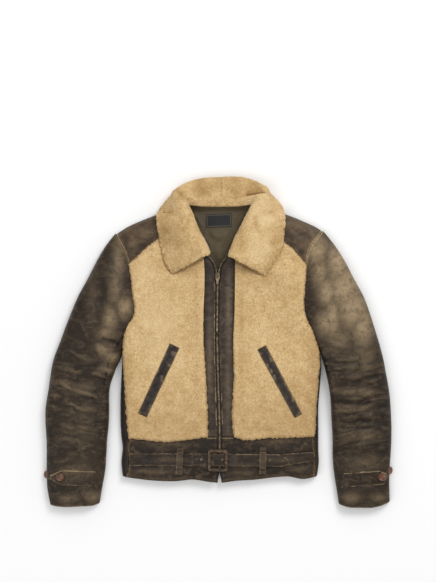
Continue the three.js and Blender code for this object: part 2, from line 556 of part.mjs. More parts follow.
  // Cuff tab with a pointed end, and two buttons
  const { from, knee, tip, half: tabHalf, tipHalf } = half.tab;
  const tabShares = [0, 0.04, 0.1, 0.18, 0.3, 0.44, 0.58, 0.72, 0.86, 1];
  const tabPoints = [...tabShares.map((share) => [mix(from[0], knee[0], share), mix(from[1], knee[1], share)]),
    ...evenly(3).slice(1).map((share) => [mix(knee[0], tip[0], share), mix(knee[1], tip[1], share)])];
  const tabHalves = tabPoints.map((_, k) => (k <= 9 ? tabHalf : mix(tabHalf, tipHalf, (k - 9) / 3)));
  const tabBase = (x, y) => sleeveTop(x, y) + TAB.lift;
  add(`cuff_tab_${name}`, strap(tabPoints, tabHalves, tabBase, TAB.wall), "leather");
  half.buttons.forEach(([x, y, turn, clear], k) => {
    const disc = new THREE.LatheGeometry(BUTTON_PROFILE.map(([r, z]) => new THREE.Vector2(r, z)), 14);
    disc.rotateX(Math.PI / 2);
    const button = add(`button_${name}_${k + 1}`, facingOut(disc), "button");
    if (turn === 0) {
      const seat = Math.max(...[-1, 0, 1].map((way) => tabBase(x + way * BUTTON_RADIUS, y)));
      button.position.set(x, y, seat + TAB.wall + 0.5);
      return;
    }
    const fold = edgeAt(half.sleeveOuter, y);
    const slope = Math.SQRT1_2;
    const height = lookUp(SLEEVE_HEIGHT, y) - REST;
    const inward = -Math.sign(fold);
    const reach = Math.abs(x - fold) + (1 - slope) * FOLD_RADIUS - slope * clear;
    button.position.set(fold + inward * ((1 - slope) * FOLD_RADIUS - slope * clear) - inward * reach,
      y, REST + height * slope + slope * clear - reach);
    button.rotation.y = THREE.MathUtils.degToRad(-turn);
  });

  // Belt loop over the belt
  const loopShares = [0, 0.1, 0.19, 0.23, 0.35, 0.5, 0.65, 0.77, 0.81, 0.9, 1];
  const beltLift = name === "right" ? STRAP + LIFT : 2 * (STRAP + LIFT);
  const loopPoints = loopShares.map((share) => [mix(half.loop.from[0], half.loop.to[0], share),
    mix(half.loop.from[1], half.loop.to[1], share)]);
  const loopBase = (x, y) => {
    const onBelt = soft((BELT_HALF + 7 - Math.abs(y - BUCKLE.y)) / 3);
    return bandTopLevel(x, y) + LIFT + (beltLift + LIFT) * onBelt;
  };
  add(`belt_loop_${name}`, strap(loopPoints, loopPoints.map(() => LOOP_HALF), loopBase, STRAP, 1), "trim");

  // Zip tape and the row of teeth on it
  const tapeEdge = [...zipEdge, ...spread(half.bandZip, [0.3, 0.6]), vector([half.bandZip[1][0], ZIP.bottom])];
  const toCentre = -half.towardSide;
  const ribbon = (from2, to2, high, low) => layer(
    tapeEdge.map((p) => [from2, to2].map((shift) => new THREE.Vector3(p.x + toCentre * shift, p.y, 0))),
    (x, y) => level(x, y) + high, (x, y) => level(x, y) + low);
  const tapeTop = ZIP.level;
  add(`zip_tape_${name}`, ribbon(0.6, 0.6 + ZIP.tapeWidth - 0.3, tapeTop, tapeTop - ZIP.tapeWall), "zipTape");
  const chainLow = tapeTop + SEAM_GAP;
  add(`zip_chain_${name}`, ribbon(ZIP.tapeWidth + 0.3 - ZIP.chainWidth, ZIP.tapeWidth + 0.3,
    chainLow + ZIP.chainWall, chainLow), "bronze");
}
for (const [name, half] of Object.entries(HALVES)) buildHalf(name, half);

// Back: one flat panel between the side folds, the armholes and the neck, and its band below
const BACK_DOWN = [...evenly(7).map((v) => v * 0.14), ...evenly(14).slice(1).map((v) => mix(0.14, 0.6, v)),
  ...evenly(6).slice(1).map((v) => mix(0.6, 1, v))];
function backEdge({ armholeYoke, armholeFront, bodySide, frontSide }) {
  const yokeRows = 7;
  const armRows = 21;
  const upper = spread(armholeYoke, evenly(yokeRows));
  const lower = spread(armholeFront, evenly(armRows - yokeRows));
  const side = spread([frontSide[0], ...bodySide], evenly(BACK_DOWN.length - 1 - armRows));
  return [...upper, ...lower.slice(1), ...side.slice(1)];
}
const backFirst = backEdge(HALVES.right);
const backLast = backEdge(HALVES.left);
const backAcross = evenly(14);
const neckLine = [[-96, 322], [-60, 329], [0, 330], [60, 329], [104, 323]];
const backTop = [...spread(HALVES.right.shoulder, evenly(5)), ...spread(neckLine, evenly(4)).slice(1),
  ...spread([...HALVES.left.shoulder].reverse(), evenly(5)).slice(1)];
const backBottom = backAcross.map((u) => backFirst[backFirst.length - 1].clone().lerp(backLast[backLast.length - 1], u));
const back = inset(patch(backTop, backBottom, backFirst, backLast, backAcross, BACK_DOWN),
  { first: UNDER_GAP, last: UNDER_GAP });
add("back", layer(back, () => FLOOR_WALL, () => 0), "leather");

const BACK_HEM = [[-229, -318], [-120, -316], [0, -315], [120, -316], [238, -317]];
const bandSideDown = evenly(4);
const bandEdge = (table) => spread(table.map(([x, y]) => [x, Math.max(y, BACK_HEM[0][1])]), bandSideDown);
const backBand = inset(patch(backBottom, spread(BACK_HEM, backAcross), bandEdge(HALVES.right.bandSide),
  bandEdge(HALVES.left.bandSide), backAcross, bandSideDown), { first: 0, last: 0, bottom: 0 });
add("waistband_back", layer(backBand, () => FLOOR_WALL, () => 0), "leather");

// Lining on the back, seen through the neck, with a plain label
const LINING_EDGES = { right: [[-88, 329], [-70, 290], [-50, 230], [-34, 140]],
  left: [[96, 329], [80, 290], [58, 230], [32, 140]] };
const liningDown = [0, 0.03, 0.07, 0.12, 0.3, 0.5, 0.75, 1];
const liningAcross = evenly(4);
const liningTop = spread([[-88, 329], [0, 329], [96, 329]], liningAcross);
const liningBottom = spread([[-34, 140], [32, 140]], liningAcross);
const lining = patch(liningTop, liningBottom, spread(LINING_EDGES.right, liningDown),
  spread(LINING_EDGES.left, liningDown), liningAcross, liningDown);
const LINING_WALL = 1.6;
const liningRise = (y) => 9 * soft((y - 314) / 15);
add("back_lining", layer(lining, (x, y) => REST + LINING_WALL + liningRise(y), (x, y) => REST + liningRise(y)), "lining");
const labelGeometry = new THREE.BoxGeometry(LABEL.width, LABEL.height, LABEL.wall);
const label = add("label", facingOut(labelGeometry), "label");
label.position.set(LABEL.x, LABEL.y, REST + LINING_WALL + 2 * SEAM_GAP + LABEL.wall / 2);
label.rotation.z = LABEL.turn;

// Belt: the right end under the buckle, the left end under its own tongue
const beltBase = (x, y) => bandTopLevel(x, y) + LIFT;
const alongBelt = (fromX, toX, count) => evenly(count).map((share) => mix(fromX, toX, share));
const rightBelt = alongBelt(-213, -13, 16);
add("belt_right", strap(rightBelt.map((x) => [x, -282]), rightBelt.map(() => BELT_HALF), beltBase, STRAP), "trim");
const leftBelt = alongBelt(48, 232, 16);
const leftBeltY = (x) => mix(-283, -276, soft((x - 140) / 90));
add("belt_left", strap(leftBelt.map((x) => [x, leftBeltY(x)]),
  leftBelt.map((x) => mix(BELT_HALF - 1, 11.5, soft((x - 150) / 80))), beltBase, STRAP), "trim");
const tongueTaper = [[14, 149], [10.5, 160], [6, 168], [1.5, 172]];
const tongueStops = [...alongBelt(-12.5, 26, 4), ...alongBelt(31, 46, 3), ...alongBelt(58, 140, 7)];
const tonguePoints = [...tongueStops.map((x) => [x, mix(-282, -284, x / 170)]),
  ...tongueTaper.map(([, x]) => [x, mix(-284, -288, (x - 140) / 32)])];
const tongueHalves = [...tongueStops.map(() => BELT_HALF), ...tongueTaper.map(([halfWidth]) => halfWidth)];
const tongueBase = (x, y) => beltBase(x, y) + (STRAP + LIFT) * soft((x - 26) / 20);
add("belt_tongue", strap(tonguePoints, tongueHalves, tongueBase, STRAP), "trim");

function roundedRectangle(width, height, corner, Kind) {
  const outline = new Kind();
  const [w, h] = [width / 2 - corner, height / 2 - corner];
  outline.absarc(w, h, corner, 0, Math.PI / 2);
  outline.absarc(-w, h, corner, Math.PI / 2, Math.PI);
  outline.absarc(-w, -h, corner, Math.PI, Math.PI * 1.5);
  outline.absarc(w, -h, corner, Math.PI * 1.5, Math.PI * 2);
  return outline;
}
const buckleShape = roundedRectangle(BUCKLE.width, BUCKLE.height, BUCKLE.corner, THREE.Shape);
buckleShape.holes.push(roundedRectangle(BUCKLE.width - 2 * BUCKLE.bar, BUCKLE.height - 2 * BUCKLE.bar, 2.5, THREE.Path));
const buckleGeometry = new THREE.ExtrudeGeometry(buckleShape, { depth: BUCKLE.thickness, bevelEnabled: false, curveSegments: 4 });
const buckle = add("buckle", facingOut(buckleGeometry), "bronze");
buckle.position.set(BUCKLE.x, BUCKLE.y, beltBase(0, BUCKLE.y) + STRAP + SEAM_GAP + 0.2);

// Zip slider with a bridge, and the pull tab that swings on it
const sliderFloor = level(SLIDER.x, SLIDER.y) + ZIP.level + SEAM_GAP + ZIP.chainWall + SEAM_GAP;
const sliderTop = sliderFloor + SLIDER.thickness;
const hingeY = SLIDER.y + PULL.hinge;
const hingeZ = sliderTop + PULL.rise;
const sliderShape = roundedRectangle(SLIDER.width, SLIDER.length, 2.5, THREE.Shape);
const plate = new THREE.ExtrudeGeometry(sliderShape, { depth: SLIDER.thickness, bevelEnabled: false, curveSegments: 4 });
plate.translate(SLIDER.x, SLIDER.y, sliderFloor);
const legOut = BRIDGE.clear + BRIDGE.leg;
const arch = new THREE.Shape();
const archTop = PULL.rise + PULL.rise + BRIDGE.top;
[[-legOut, -1], [-BRIDGE.clear, -1], [-BRIDGE.clear, PULL.rise * 2], [BRIDGE.clear, PULL.rise * 2], [BRIDGE.clear, -1],
  [legOut, -1], [legOut, archTop - 0.8], [legOut - 0.8, archTop], [-legOut + 0.8, archTop], [-legOut, archTop - 0.8],
].forEach(([y, z], k) => (k === 0 ? arch.moveTo(y, z) : arch.lineTo(y, z)));
const bridge = new THREE.ExtrudeGeometry(arch, { depth: BRIDGE.width, bevelEnabled: false });
bridge.applyMatrix4(new THREE.Matrix4().makeBasis(new THREE.Vector3(0, 1, 0), new THREE.Vector3(0, 0, 1),
  new THREE.Vector3(1, 0, 0)));
bridge.translate(SLIDER.x - BRIDGE.width / 2, hingeY, sliderTop);
add("zip_slider", fromSolid(toSolid(facingOut(plate)).add(toSolid(facingOut(bridge)))), "bronze");

const pullShape = new THREE.Shape();
const pullHalf = PULL.width / 2;
pullShape.moveTo(-pullHalf, PULL.bar / 2);
pullShape.lineTo(-pullHalf, -PULL.length + 2);
pullShape.lineTo(-pullHalf + 1.5, -PULL.length);
pullShape.lineTo(pullHalf - 1.5, -PULL.length);
pullShape.lineTo(pullHalf, -PULL.length + 2);
pullShape.lineTo(pullHalf, PULL.bar / 2);
const pullWindow = new THREE.Path();
pullWindow.moveTo(-PULL.window / 2, -PULL.bar / 2);
pullWindow.lineTo(PULL.window / 2, -PULL.bar / 2);
pullWindow.lineTo(PULL.window / 2, -PULL.windowEnd);
pullWindow.lineTo(-PULL.window / 2, -PULL.windowEnd);
pullShape.holes.push(pullWindow);
const pullGeometry = new THREE.ExtrudeGeometry(pullShape, { depth: PULL.wall, bevelEnabled: false });
const pull = add("zip_pull", facingOut(pullGeometry), "bronze");
pull.position.set(SLIDER.x, hingeY, hingeZ - PULL.wall / 2);

export default coat;
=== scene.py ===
# Shearling coat laid flat: how it looks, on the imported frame. Lengths here are millimetres,
# turned into metres as each mesh is made.
import math

import bmesh
import bpy
import numpy as np
from mathutils import Matrix, Vector


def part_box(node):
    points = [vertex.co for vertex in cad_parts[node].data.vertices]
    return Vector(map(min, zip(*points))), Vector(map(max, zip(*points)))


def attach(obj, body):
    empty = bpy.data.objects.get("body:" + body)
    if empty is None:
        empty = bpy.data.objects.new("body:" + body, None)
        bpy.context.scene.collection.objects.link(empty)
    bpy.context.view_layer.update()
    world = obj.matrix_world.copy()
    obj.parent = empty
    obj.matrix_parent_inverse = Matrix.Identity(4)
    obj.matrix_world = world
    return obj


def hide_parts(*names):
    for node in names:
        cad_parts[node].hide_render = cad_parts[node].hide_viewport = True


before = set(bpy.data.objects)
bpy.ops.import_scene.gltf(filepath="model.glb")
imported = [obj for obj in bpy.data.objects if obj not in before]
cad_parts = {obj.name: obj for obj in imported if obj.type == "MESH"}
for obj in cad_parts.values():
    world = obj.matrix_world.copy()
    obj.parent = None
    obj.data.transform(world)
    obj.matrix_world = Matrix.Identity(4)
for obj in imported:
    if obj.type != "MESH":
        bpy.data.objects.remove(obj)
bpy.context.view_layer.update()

MM = 0.001

# Walls and heights above the floor
REST = 2.8
LEATHER = 2.4
SIDE_LEVEL = 23
CROWN = 5
BAND_DROP = 3
HALF_CHEST = 240
PILE = 9.5
PRESSED_PILE = 4
SHOULDER_RADIUS = 26
SLEEVE_CROWN = 4
SLEEVE_HEIGHT = [[270, 25], [200, 30], [60, 32], [-60, 30], [-250, 27], [-396, 22]]
FOLD_RADIUS = 22
FOLD_MIDDLE = 9
HEAD_BLEND = 60
COLLAR_HALF = 5.5
LIFT = 0.4
BELT_HALF = 15
STRAP = 2.6
LOOP_HALF = 7.8
BUCKLE_Y = -283
ZIP_LEVEL = -2.6
ZIP_BOTTOM = -336
TEETH_BOTTOM = -309
COLLAR_STEPS = 121

# Outlines of each half, as [x, y] seen from above
HALVES = {
    "right": {
        "toward_side": -1,
        "sleeve_outer": [[-245, 259], [-271, 226], [-293, 187], [-312, 149], [-334, 110], [-350, 72],
                         [-365, 34],
            [-379, -5], [-394, -43], [-401, -82], [-406, -120], [-413, -158], [-413, -197], [-410, -235],
            [-410, -274], [-410, -312], [-409, -350], [-401, -391]],
        "sleeve_inner": [[-228, -21], [-238, -43], [-247, -62], [-254, -82], [-261, -101], [-264, -125],
            [-264, -160], [-265, -197], [-269, -235], [-271, -274], [-274, -312], [-281, -350], [-287, -387]],
        "cuff": [[-401, -391], [-370, -394], [-335, -393], [-301, -391], [-287, -387]],
        "armhole_yoke": [[-245, 259], [-238, 243], [-230, 229], [-221, 209], [-214, 186]],
        "armhole_front": [[-214, 186], [-208, 152], [-204, 113], [-200, 82], [-204, 60], [-217, 40],
                          [-225, 17], [-228, -21]],
        "shoulder": [[-245, 259], [-219, 276], [-191, 289], [-150, 305], [-96, 322]],
        "yoke_seam": [[-214, 186], [-198, 200], [-168, 227], [-146, 245], [-72, 296]],
        "yoke_neck": [[-96, 322], [-82, 312], [-72, 296]],
        "front_neck": [[-72, 296], [-52, 262], [-36, 228], [-43, 194]],
        "placket_edge": [[-43, 194], [-36, 137], [-35, 5], [-29, -91], [-25, -211], [-26, -227]],
        "placket_top": [[-43, 194], [-28, 206]],
        "zip_edge": [[-28, 206], [-13, 184], [-7.8, 160], [-6.8, 137], [-7.8, 5], [-1.8, -211], [-1.9, -227]],
        "front_side": [[-228, -21], [-224, -86], [-219, -178], [-216, -209], [-213, -230]],
        "band_top": [[-213, -230], [-156, -236], [-121, -238], [-77, -234], [-43, -229], [-26, -227]],
        "body_side": [[-230.5, -40], [-232, -70], [-235, -130], [-235, -197], [-233, -230]],
        "band_seam": [[-213, -230], [-217, -255], [-213, -290], [-219, -325]],
        "band_side": [[-233, -230], [-230, -254], [-233, -290], [-230, -322]],
        "band_zip": [[-1.9, -227], [-1.9, -317], [-1, -338]],
        "hem": [[-219, -325], [-190, -329], [-150, -333], [-102, -334], [-60, -330], [-26, -335], [-1, -338]],
        "welt": {"from": [-104, -9], "to": [-181, -175], "half_widths": [12, 11]},
        "loop": {"from": [-90, -254], "to": [-94, -318]},
        "tab": {"from": [-290, -327], "knee": [-376, -324], "tip": [-403, -323], "half": 18.5, "tip_half": 4},
        "buttons": [[-378, -323, 0, 0], [-410.5, -319, 45, 0.3]],
    },
    "left": {
        "toward_side": 1,
        "sleeve_outer": [[251, 266], [283, 226], [307, 187], [326, 149], [348, 110], [362, 72], [374, 34],
            [386, -5], [396, -43], [403, -82], [410, -120], [413, -158], [415, -197], [415, -235],
            [413, -274], [410, -312], [410, -350], [411, -384]],
        "sleeve_inner": [[236, 2], [247, -22], [256, -50], [264, -82], [271, -120], [274, -158], [276, -197],
            [278, -235], [278, -274], [281, -312], [287, -350], [293, -389]],
        "cuff": [[411, -384], [377, -395], [349, -396], [314, -395], [293, -389]],
        "armhole_yoke": [[251, 266], [242, 255], [232, 243], [221, 226], [214, 204], [212, 184]],
        "armhole_front": [[212, 184], [210, 156], [207, 124], [206, 88], [209, 68], [217, 45], [228, 25],
                          [236, 2]],
        "shoulder": [[251, 266], [236, 276], [215, 286], [163, 307], [104, 323]],
        "yoke_seam": [[212, 184], [193, 207], [176, 225], [159, 238], [86, 292]],
        "yoke_neck": [[104, 323], [92, 312], [86, 292]],
        "front_neck": [[86, 292], [62, 262], [42, 228], [45, 190]],
        "placket_edge": [[45, 190], [42, 137], [37, 5], [38, -86], [35, -178], [38, -227]],
        "placket_top": [[45, 190], [26, 204]],
        "zip_edge": [[26, 204], [12, 184], [5.8, 160], [4.8, 137], [3.8, 5], [9.8, -211], [9.7, -227]],
        "front_side": [[236, 2], [243, -30], [240, -86], [235, -149], [232, -209], [230, -226]],
        "band_top": [[230, -226], [181, -228], [134, -229], [89, -233], [63, -233], [38, -227]],
        "body_side": [[243, -19], [246, -34], [248.5, -62], [247, -90], [242, -158], [242, -197],
                      [242, -226]],
        "band_seam": [[230, -226], [232, -262], [234, -290], [232, -324]],
        "band_side": [[242, -226], [242, -262], [243, -290], [239, -321]],
        "band_zip": [[9.7, -227], [9.3, -317], [9, -338]],
        "hem": [[232, -324], [204, -329], [169, -323], [134, -325], [92, -330], [45, -333], [9, -338]],
        "welt": {"from": [104, -13], "to": [192, -177], "half_widths": [11, 9.5]},
        "loop": {"from": [108, -252], "to": [107, -317]},
        "tab": {"from": [300, -330], "knee": [392, -324], "tip": [405, -320], "half": 17.5, "tip_half": 6},
        "buttons": [[393, -323, 0, 0], [411.5, -309, -45, -0.2]],
    },
}

# The collar's inner and outer edge seen from above, and how far it is turned from a side leaf, 0,
# to the roll behind the neck, 1
COLLAR = [
    {"inner": [-18, 212], "outer": [-107, 166], "back": 0},
    {"inner": [-27, 236], "outer": [-125, 184], "back": 0},
    {"inner": [-40, 262], "outer": [-137, 228], "back": 0},
    {"inner": [-52, 288], "outer": [-147, 277], "back": 0},
    {"inner": [-62, 309], "outer": [-144, 315], "back": 0},
    {"inner": [-69, 325], "outer": [-128, 338], "back": 0.1},
    {"inner": [-69, 331], "outer": [-107, 359], "back": 0.4},
    {"inner": [-58, 331], "outer": [-80, 380], "back": 0.8},
    {"inner": [-38, 330], "outer": [-42, 392], "back": 1},
    {"inner": [5, 330], "outer": [8, 396], "back": 1},
    {"inner": [46, 330], "outer": [52, 396], "back": 1},
    {"inner": [67, 331], "outer": [86, 388], "back": 0.8},
    {"inner": [78, 331], "outer": [113, 372], "back": 0.4},
    {"inner": [79, 325], "outer": [137, 349], "back": 0.1},
    {"inner": [72, 311], "outer": [156, 322], "back": 0},
    {"inner": [60, 289], "outer": [161, 292], "back": 0},
    {"inner": [48, 268], "outer": [158, 246], "back": 0},
    {"inner": [35, 240], "outer": [144, 205], "back": 0},
    {"inner": [22.5, 207], "outer": [112, 161], "back": 0},
]
NECK_LINE = [[-96, 322], [-60, 329], [0, 330], [60, 329], [104, 323]]
BACK_HEM = [[-229, -318], [-120, -316], [0, -315], [120, -316], [238, -317]]
LINING_EDGES = {"right": [[-88, 329], [-70, 290], [-50, 230], [-34, 140]],
                "left": [[96, 329], [80, 290], [58, 230], [32, 140]]}

# Folds: [x1, y1, x2, y2, x3, y3, height, half width]
SLEEVE_FOLDS = {
    "right": [[-379, -66, -315, -72, -258, -84, 2.7, 5], [-362, -78, -310, -92, -262, -104, 2.2, 5],
              [-385, -90, -335, -118, -275, -134, 3.6, 5], [-372, -140, -325, -160, -262, -158, 3.4, 5],
              [-405, -120, -372, -128, -340, -126, 1.9, 5], [-300, -2, -272, -24, -246, -40, 3.6, 6],
              [-285, 10, -256, 2, -232, -8, -5.1, 5], [-262, 150, -276, 95, -285, 30, -2.2, 9],
              [-395, -190, -345, -202, -296, -206, 2.0, 6], [-330, -182, -298, -190, -268, -186, 1.4, 5],
              [-395, -258, -340, -262, -290, -250, -1.5, 7], [-345, -225, -312, -236, -276, -232, 1.3, 6],
              [-340, 60, -318, 30, -305, -10, 1.5, 7], [-365, -10, -335, -30, -300, -44, 1.9, 6],
              [-392, -40, -360, -50, -325, -52, 1.4, 5], [-270, 205, -292, 160, -308, 110, 1.4, 8],
              [-400, -290, -350, -284, -310, -292, 1.0, 6], [-284, 60, -262, 40, -236, 34, 1.5, 7]],
    "left": [[277, -108, 330, -96, 399, -80, -3.4, 5], [281, -149, 330, -148, 373, -138, -3.6, 5],
             [285, -135, 330, -133, 375, -125, 2.5, 5], [283, -177, 330, -171, 382, -163, -2.7, 5],
             [288, -194, 340, -190, 395, -190, -2.4, 5], [288, -209, 330, -208, 373, -202, -2.2, 5],
             [298, -241, 345, -236, 395, -227, -1.7, 6], [262, 150, 280, 95, 290, 30, -0.9, 12],
             [262, -60, 310, -66, 372, -52, 2.7, 6], [258, -30, 300, -42, 350, -38, 1.9, 5],
             [250, 8, 278, -6, 312, -10, 2.2, 6], [268, -84, 300, -84, 340, -76, 1.5, 5],
             [380, -60, 392, -90, 400, -122, 1.4, 6], [300, -262, 330, -268, 380, -262, 1.2, 6],
             [292, -292, 330, -290, 372, -296, 1.0, 5], [270, 205, 296, 160, 318, 106, 1.3, 8],
             [276, -222, 310, -226, 340, -222, 1.3, 5], [330, 40, 348, 10, 358, -22, 1.4, 7]],
}
YOKE_FOLDS = {
    "right": [[-222, 236, -190, 240, -160, 262, 1.6, 8], [-205, 205, -180, 226, -150, 238, -1.0, 6]],
    "left": [[222, 240, 196, 246, 166, 268, 1.4, 8], [210, 206, 186, 226, 160, 242, -1.0, 6]],
}
PLACKET_FOLDS = {
    "right": [[-34, 150, -24, 146, -12, 150, 0.9, 6], [-34, 70, -22, 64, -10, 66, -0.8, 6],
              [-32, -30, -20, -36, -8, -34, 0.8, 7], [-28, -120, -18, -126, -6, -122, -0.8, 6]],
    "left": [[10, 140, 24, 134, 40, 138, -0.9, 6], [6, 52, 20, 46, 36, 50, 0.8, 6],
             [8, -60, 22, -66, 36, -62, -0.8, 7], [12, -150, 24, -156, 34, -152, 0.8, 6]],
}
BAND_FOLDS = {
    "right": [[-212, -250, -196, -262, -182, -275, 1.8, 6], [-205, -306, -150, -312, -100, -309, 1.2, 6],
              [-150, -246, -120, -250, -98, -247, -1.0, 6], [-60, -310, -40, -316, -14, -312, 1.0, 6]],
    "left": [[226, -296, 190, -306, 150, -305, 1.2, 6], [130, -240, 160, -246, 195, -242, -1.0, 6],
             [30, -308, 56, -314, 90, -312, 1.0, 6], [218, -240, 204, -250, 196, -262, 1.2, 5]],
}
LINING_FOLDS = [[-40, 262, -20, 236, -12, 205, 3.2, 9], [44, 266, 26, 240, 14, 212, 3.0, 9],
                [-22, 270, 0, 252, 26, 262, 2.0, 8], [-66, 312, -48, 296, -40, 272, 2.4, 7],
                [70, 312, 54, 296, 46, 272, 2.2, 7], [-8, 240, 2, 216, 4, 190, 2.4, 8]]

# Seams and folds pressed into the collar: start, end, depth and half width
COLLAR_STEP = [(66, 346), (110, 357)]
COLLAR_CREASES = [[(6, 332), (9, 397), 1.3, 1.8], [(68, 352), (112, 358), 4.0, 1.8],
                  [(-70, 340), (-96, 362), 1.3, 5.0],
                  [(-60, 300), (-92, 250), 1.2, 7], [(86, 300), (104, 240), 1.2, 7]]

FRONT_FOLDS = {
    "right": [[-175, 246, -158, 232, -128, 224, 2.0, 10], [-200, 196, -178, 176, -140, 168, -2.2, 12],
              [-160, 120, -130, 96, -95, 92, 1.4, 16], [-198, 60, -176, 30, -168, -10, 1.8, 14],
              [-80, 60, -70, 10, -74, -40, -1.4, 14], [-200, -120, -160, -190, -110, -214, 1.4, 14]],
    "left": [[150, 216, 176, 200, 196, 168, -2.2, 12], [90, 150, 120, 132, 168, 128, 1.6, 14],
             [196, 70, 186, 30, 196, -20, 1.8, 14], [70, 40, 84, -20, 78, -80, -1.4, 14],
             [60, -150, 110, -196, 180, -206, 1.4, 14], [120, 60, 150, 30, 170, 34, -1.2, 14]],
}
# Paler places, partly real wear (plackets, waistband, belt, cuffs) and partly painted highlight (upper
# sleeves and shoulders, where the light falls): middle x, y, half width, half height, strength
PALE_WEAR_AND_HIGHLIGHT = [[-238, 196, 13, 50, 0.5], [-246, 130, 15, 50, 0.45], [-224, 84, 17, 24, 0.8],
         [-258, 58, 17, 30, 0.65], [-268, 22, 22, 16, 0.5], [-274, -18, 20, 14, 0.6],
         [-254, -36, 16, 10, 0.6], [-268, -66, 22, 10, 0.35], [-330, -110, 40, 16, 0.2],
         [-300, 120, 14, 80, 0.12], [-330, -200, 40, 50, 0.12], [-340, -310, 40, 24, 0.2],
         [-300, -370, 18, 14, 0.35], [-360, -375, 24, 10, 0.35], [-180, 262, 40, 16, 0.35],
         [-204, 236, 12, 22, 0.5], [288, 190, 30, 50, 0.95], [304, 130, 40, 54, 1],
         [322, 80, 36, 46, 0.95], [274, 60, 18, 50, 0.85], [236, 220, 26, 34, 0.95],
         [244, 168, 18, 34, 0.8], [262, 120, 22, 34, 0.9], [258, 48, 20, 30, 0.8],
         [346, 40, 24, 50, 0.85], [292, 10, 30, 30, 0.4], [346, -30, 26, 30, 0.3],
         [300, -20, 30, 16, 0.15], [340, -66, 36, 14, 0.15], [330, -118, 44, 8, 0.35],
         [330, -160, 40, 8, 0.25], [340, -225, 40, 12, 0.25], [350, -290, 44, 18, 0.2],
         [320, -372, 24, 12, 0.35], [384, -372, 18, 10, 0.3], [180, 276, 40, 14, 0.4],
         [206, 232, 22, 14, 0.35], [-150, -312, 50, 10, 0.25], [60, -314, 40, 8, 0.2],
         [196, -306, 26, 8, 0.2], [150, -240, 50, 8, 0.35], [-120, -246, 60, 8, 0.3],
         [26, 60, 8, 120, 0.5], [24, -120, 8, 90, 0.4], [-20, -40, 8, 120, 0.45], [60, -296, 30, 8, 0.25],
         [-110, -282, 50, 6, 0.3], [150, -282, 50, 6, 0.3]]

# Painted shade on the fleece, and painted light where the strength is negative: under the collar leaves,
# toward the sides and the bottom, and across the collar's roll; in the same terms
PAINTED_SHADE_AND_LIGHT = [[-120, -200, 120, 60, 0.3], [150, -200, 120, 70, 0.32], [232, -60, 18, 130, 0.45],
          [-216, -90, 12, 120, 0.35], [-88, 168, 40, 12, 0.3], [64, 172, 36, 12, 0.4],
          [112, 146, 40, 14, 0.35], [150, 90, 60, 70, 0.22], [56, 60, 10, 180, 0.25],
          [-52, 40, 10, 180, 0.2], [190, -130, 40, 60, 0.15], [-150, 60, 46, 90, -0.3],
          [-120, -40, 40, 60, -0.2], [110, 40, 40, 60, -0.15], [-180, 170, 26, 30, -0.3],
          [-98, 244, 22, 46, 0.5], [-124, 276, 18, 34, 0.35], [-62, 210, 20, 16, 0.2],
          [-44, 300, 9, 34, -0.6], [-24, 244, 9, 30, -0.6], [-82, 384, 22, 18, -0.5],
          [-128, 320, 12, 30, -0.3], [0, 366, 62, 24, 0.12], [84, 378, 24, 12, 0.15],
          [108, 290, 36, 66, -0.55], [86, 214, 40, 22, -0.35], [74, 336, 12, 20, -0.4],
          [126, 376, 20, 26, -0.4]]


def soft(t):
    t = np.clip(t, 0, 1)
    return t * t * (3 - 2 * t)


def mix(a, b, share):
    return a + (b - a) * share


def lengths(points):
    """Running length along a line of points."""
    return np.concatenate([[0], np.cumsum(np.linalg.norm(np.diff(points, axis=0), axis=1))])


def smooth_line(points, shares):
    """Points at the given shares of the length of a smooth line."""
    p = np.array(points, float)
    p = np.vstack([2 * p[0] - p[1], p, 2 * p[-1] - p[-2]])
    t = np.linspace(0, 1, 33)[:-1, None]
    parts = []
    for a, b, c, d in zip(p, p[1:], p[2:], p[3:]):
        ab, bc, cd = (math.sqrt(np.linalg.norm(q - r)) for q, r in ((b, a), (c, b), (d, c)))
        start = ((b - a) / ab - (c - a) / (ab + bc) + (c - b) / bc) * bc
        end = ((c - b) / bc - (d - b) / (bc + cd) + (d - c) / cd) * bc
        parts.append(b + start * t + (3 * (c - b) - 2 * start - end) * t**2
                     + (2 * (b - c) + start + end) * t**3)
    dense = np.vstack([*parts, p[-2:-1]])
    run = lengths(dense)
    at = np.asarray(shares) * run[-1]
    return np.stack([np.interp(at, run, column) for column in dense.T], axis=1)


def patch(top, bottom, first, last, across, down):
    """A grid of points between four edges."""
    u, v = across[None, :, None], down[:, None, None]
    grid = (1 - v) * top[None] + v * bottom[None] + (1 - u) * first[:, None] + u * last[:, None]
    return grid - ((1 - u) * (1 - v) * top[0] + u * (1 - v) * top[-1]
                   + (1 - u) * v * bottom[0] + u * v * bottom[-1])


def shares(length, step, edge=(0.8, 2, 4)):
    """Shares of a length, one step apart, with closer ones at both ends."""
    inner = np.linspace(edge[-1], length - edge[-1], max(2, round((length - 2 * edge[-1]) / step) + 1))
    near = [0, *edge[:-1]]
    return np.array([*near, *inner, *(length - d for d in reversed(near))]) / length


def in_from_edges(grid):
    """How far each point is from the grid's first row, last row, first column and last column."""
    down = np.linalg.norm(np.diff(grid, axis=0), axis=2).cumsum(axis=0)
    down = np.vstack([np.zeros((1, grid.shape[1])), down])
    over = np.linalg.norm(np.diff(grid, axis=1), axis=2).cumsum(axis=1)
    over = np.hstack([np.zeros((grid.shape[0], 1)), over])
    return down, down[-1:] - down, over, over[:, -1:] - over


def shrink(grid, gaps=(0.15, 0.15, 0.15, 0.15)):
    """Draws a grid's top, bottom, first and last edge in by their gaps."""
    grid = grid.copy()
    for row, beside, gap in ((0, 1, gaps[0]), (-1, -2, gaps[1])):
        way = grid[beside] - grid[row]
        grid[row] += way * gap / np.linalg.norm(way, axis=1, keepdims=True)
    for column, beside, gap in ((0, 1, gaps[2]), (-1, -2, gaps[3])):
        way = grid[:, beside] - grid[:, column]
        grid[:, column] += way * gap / np.linalg.norm(way, axis=1, keepdims=True)
    return grid


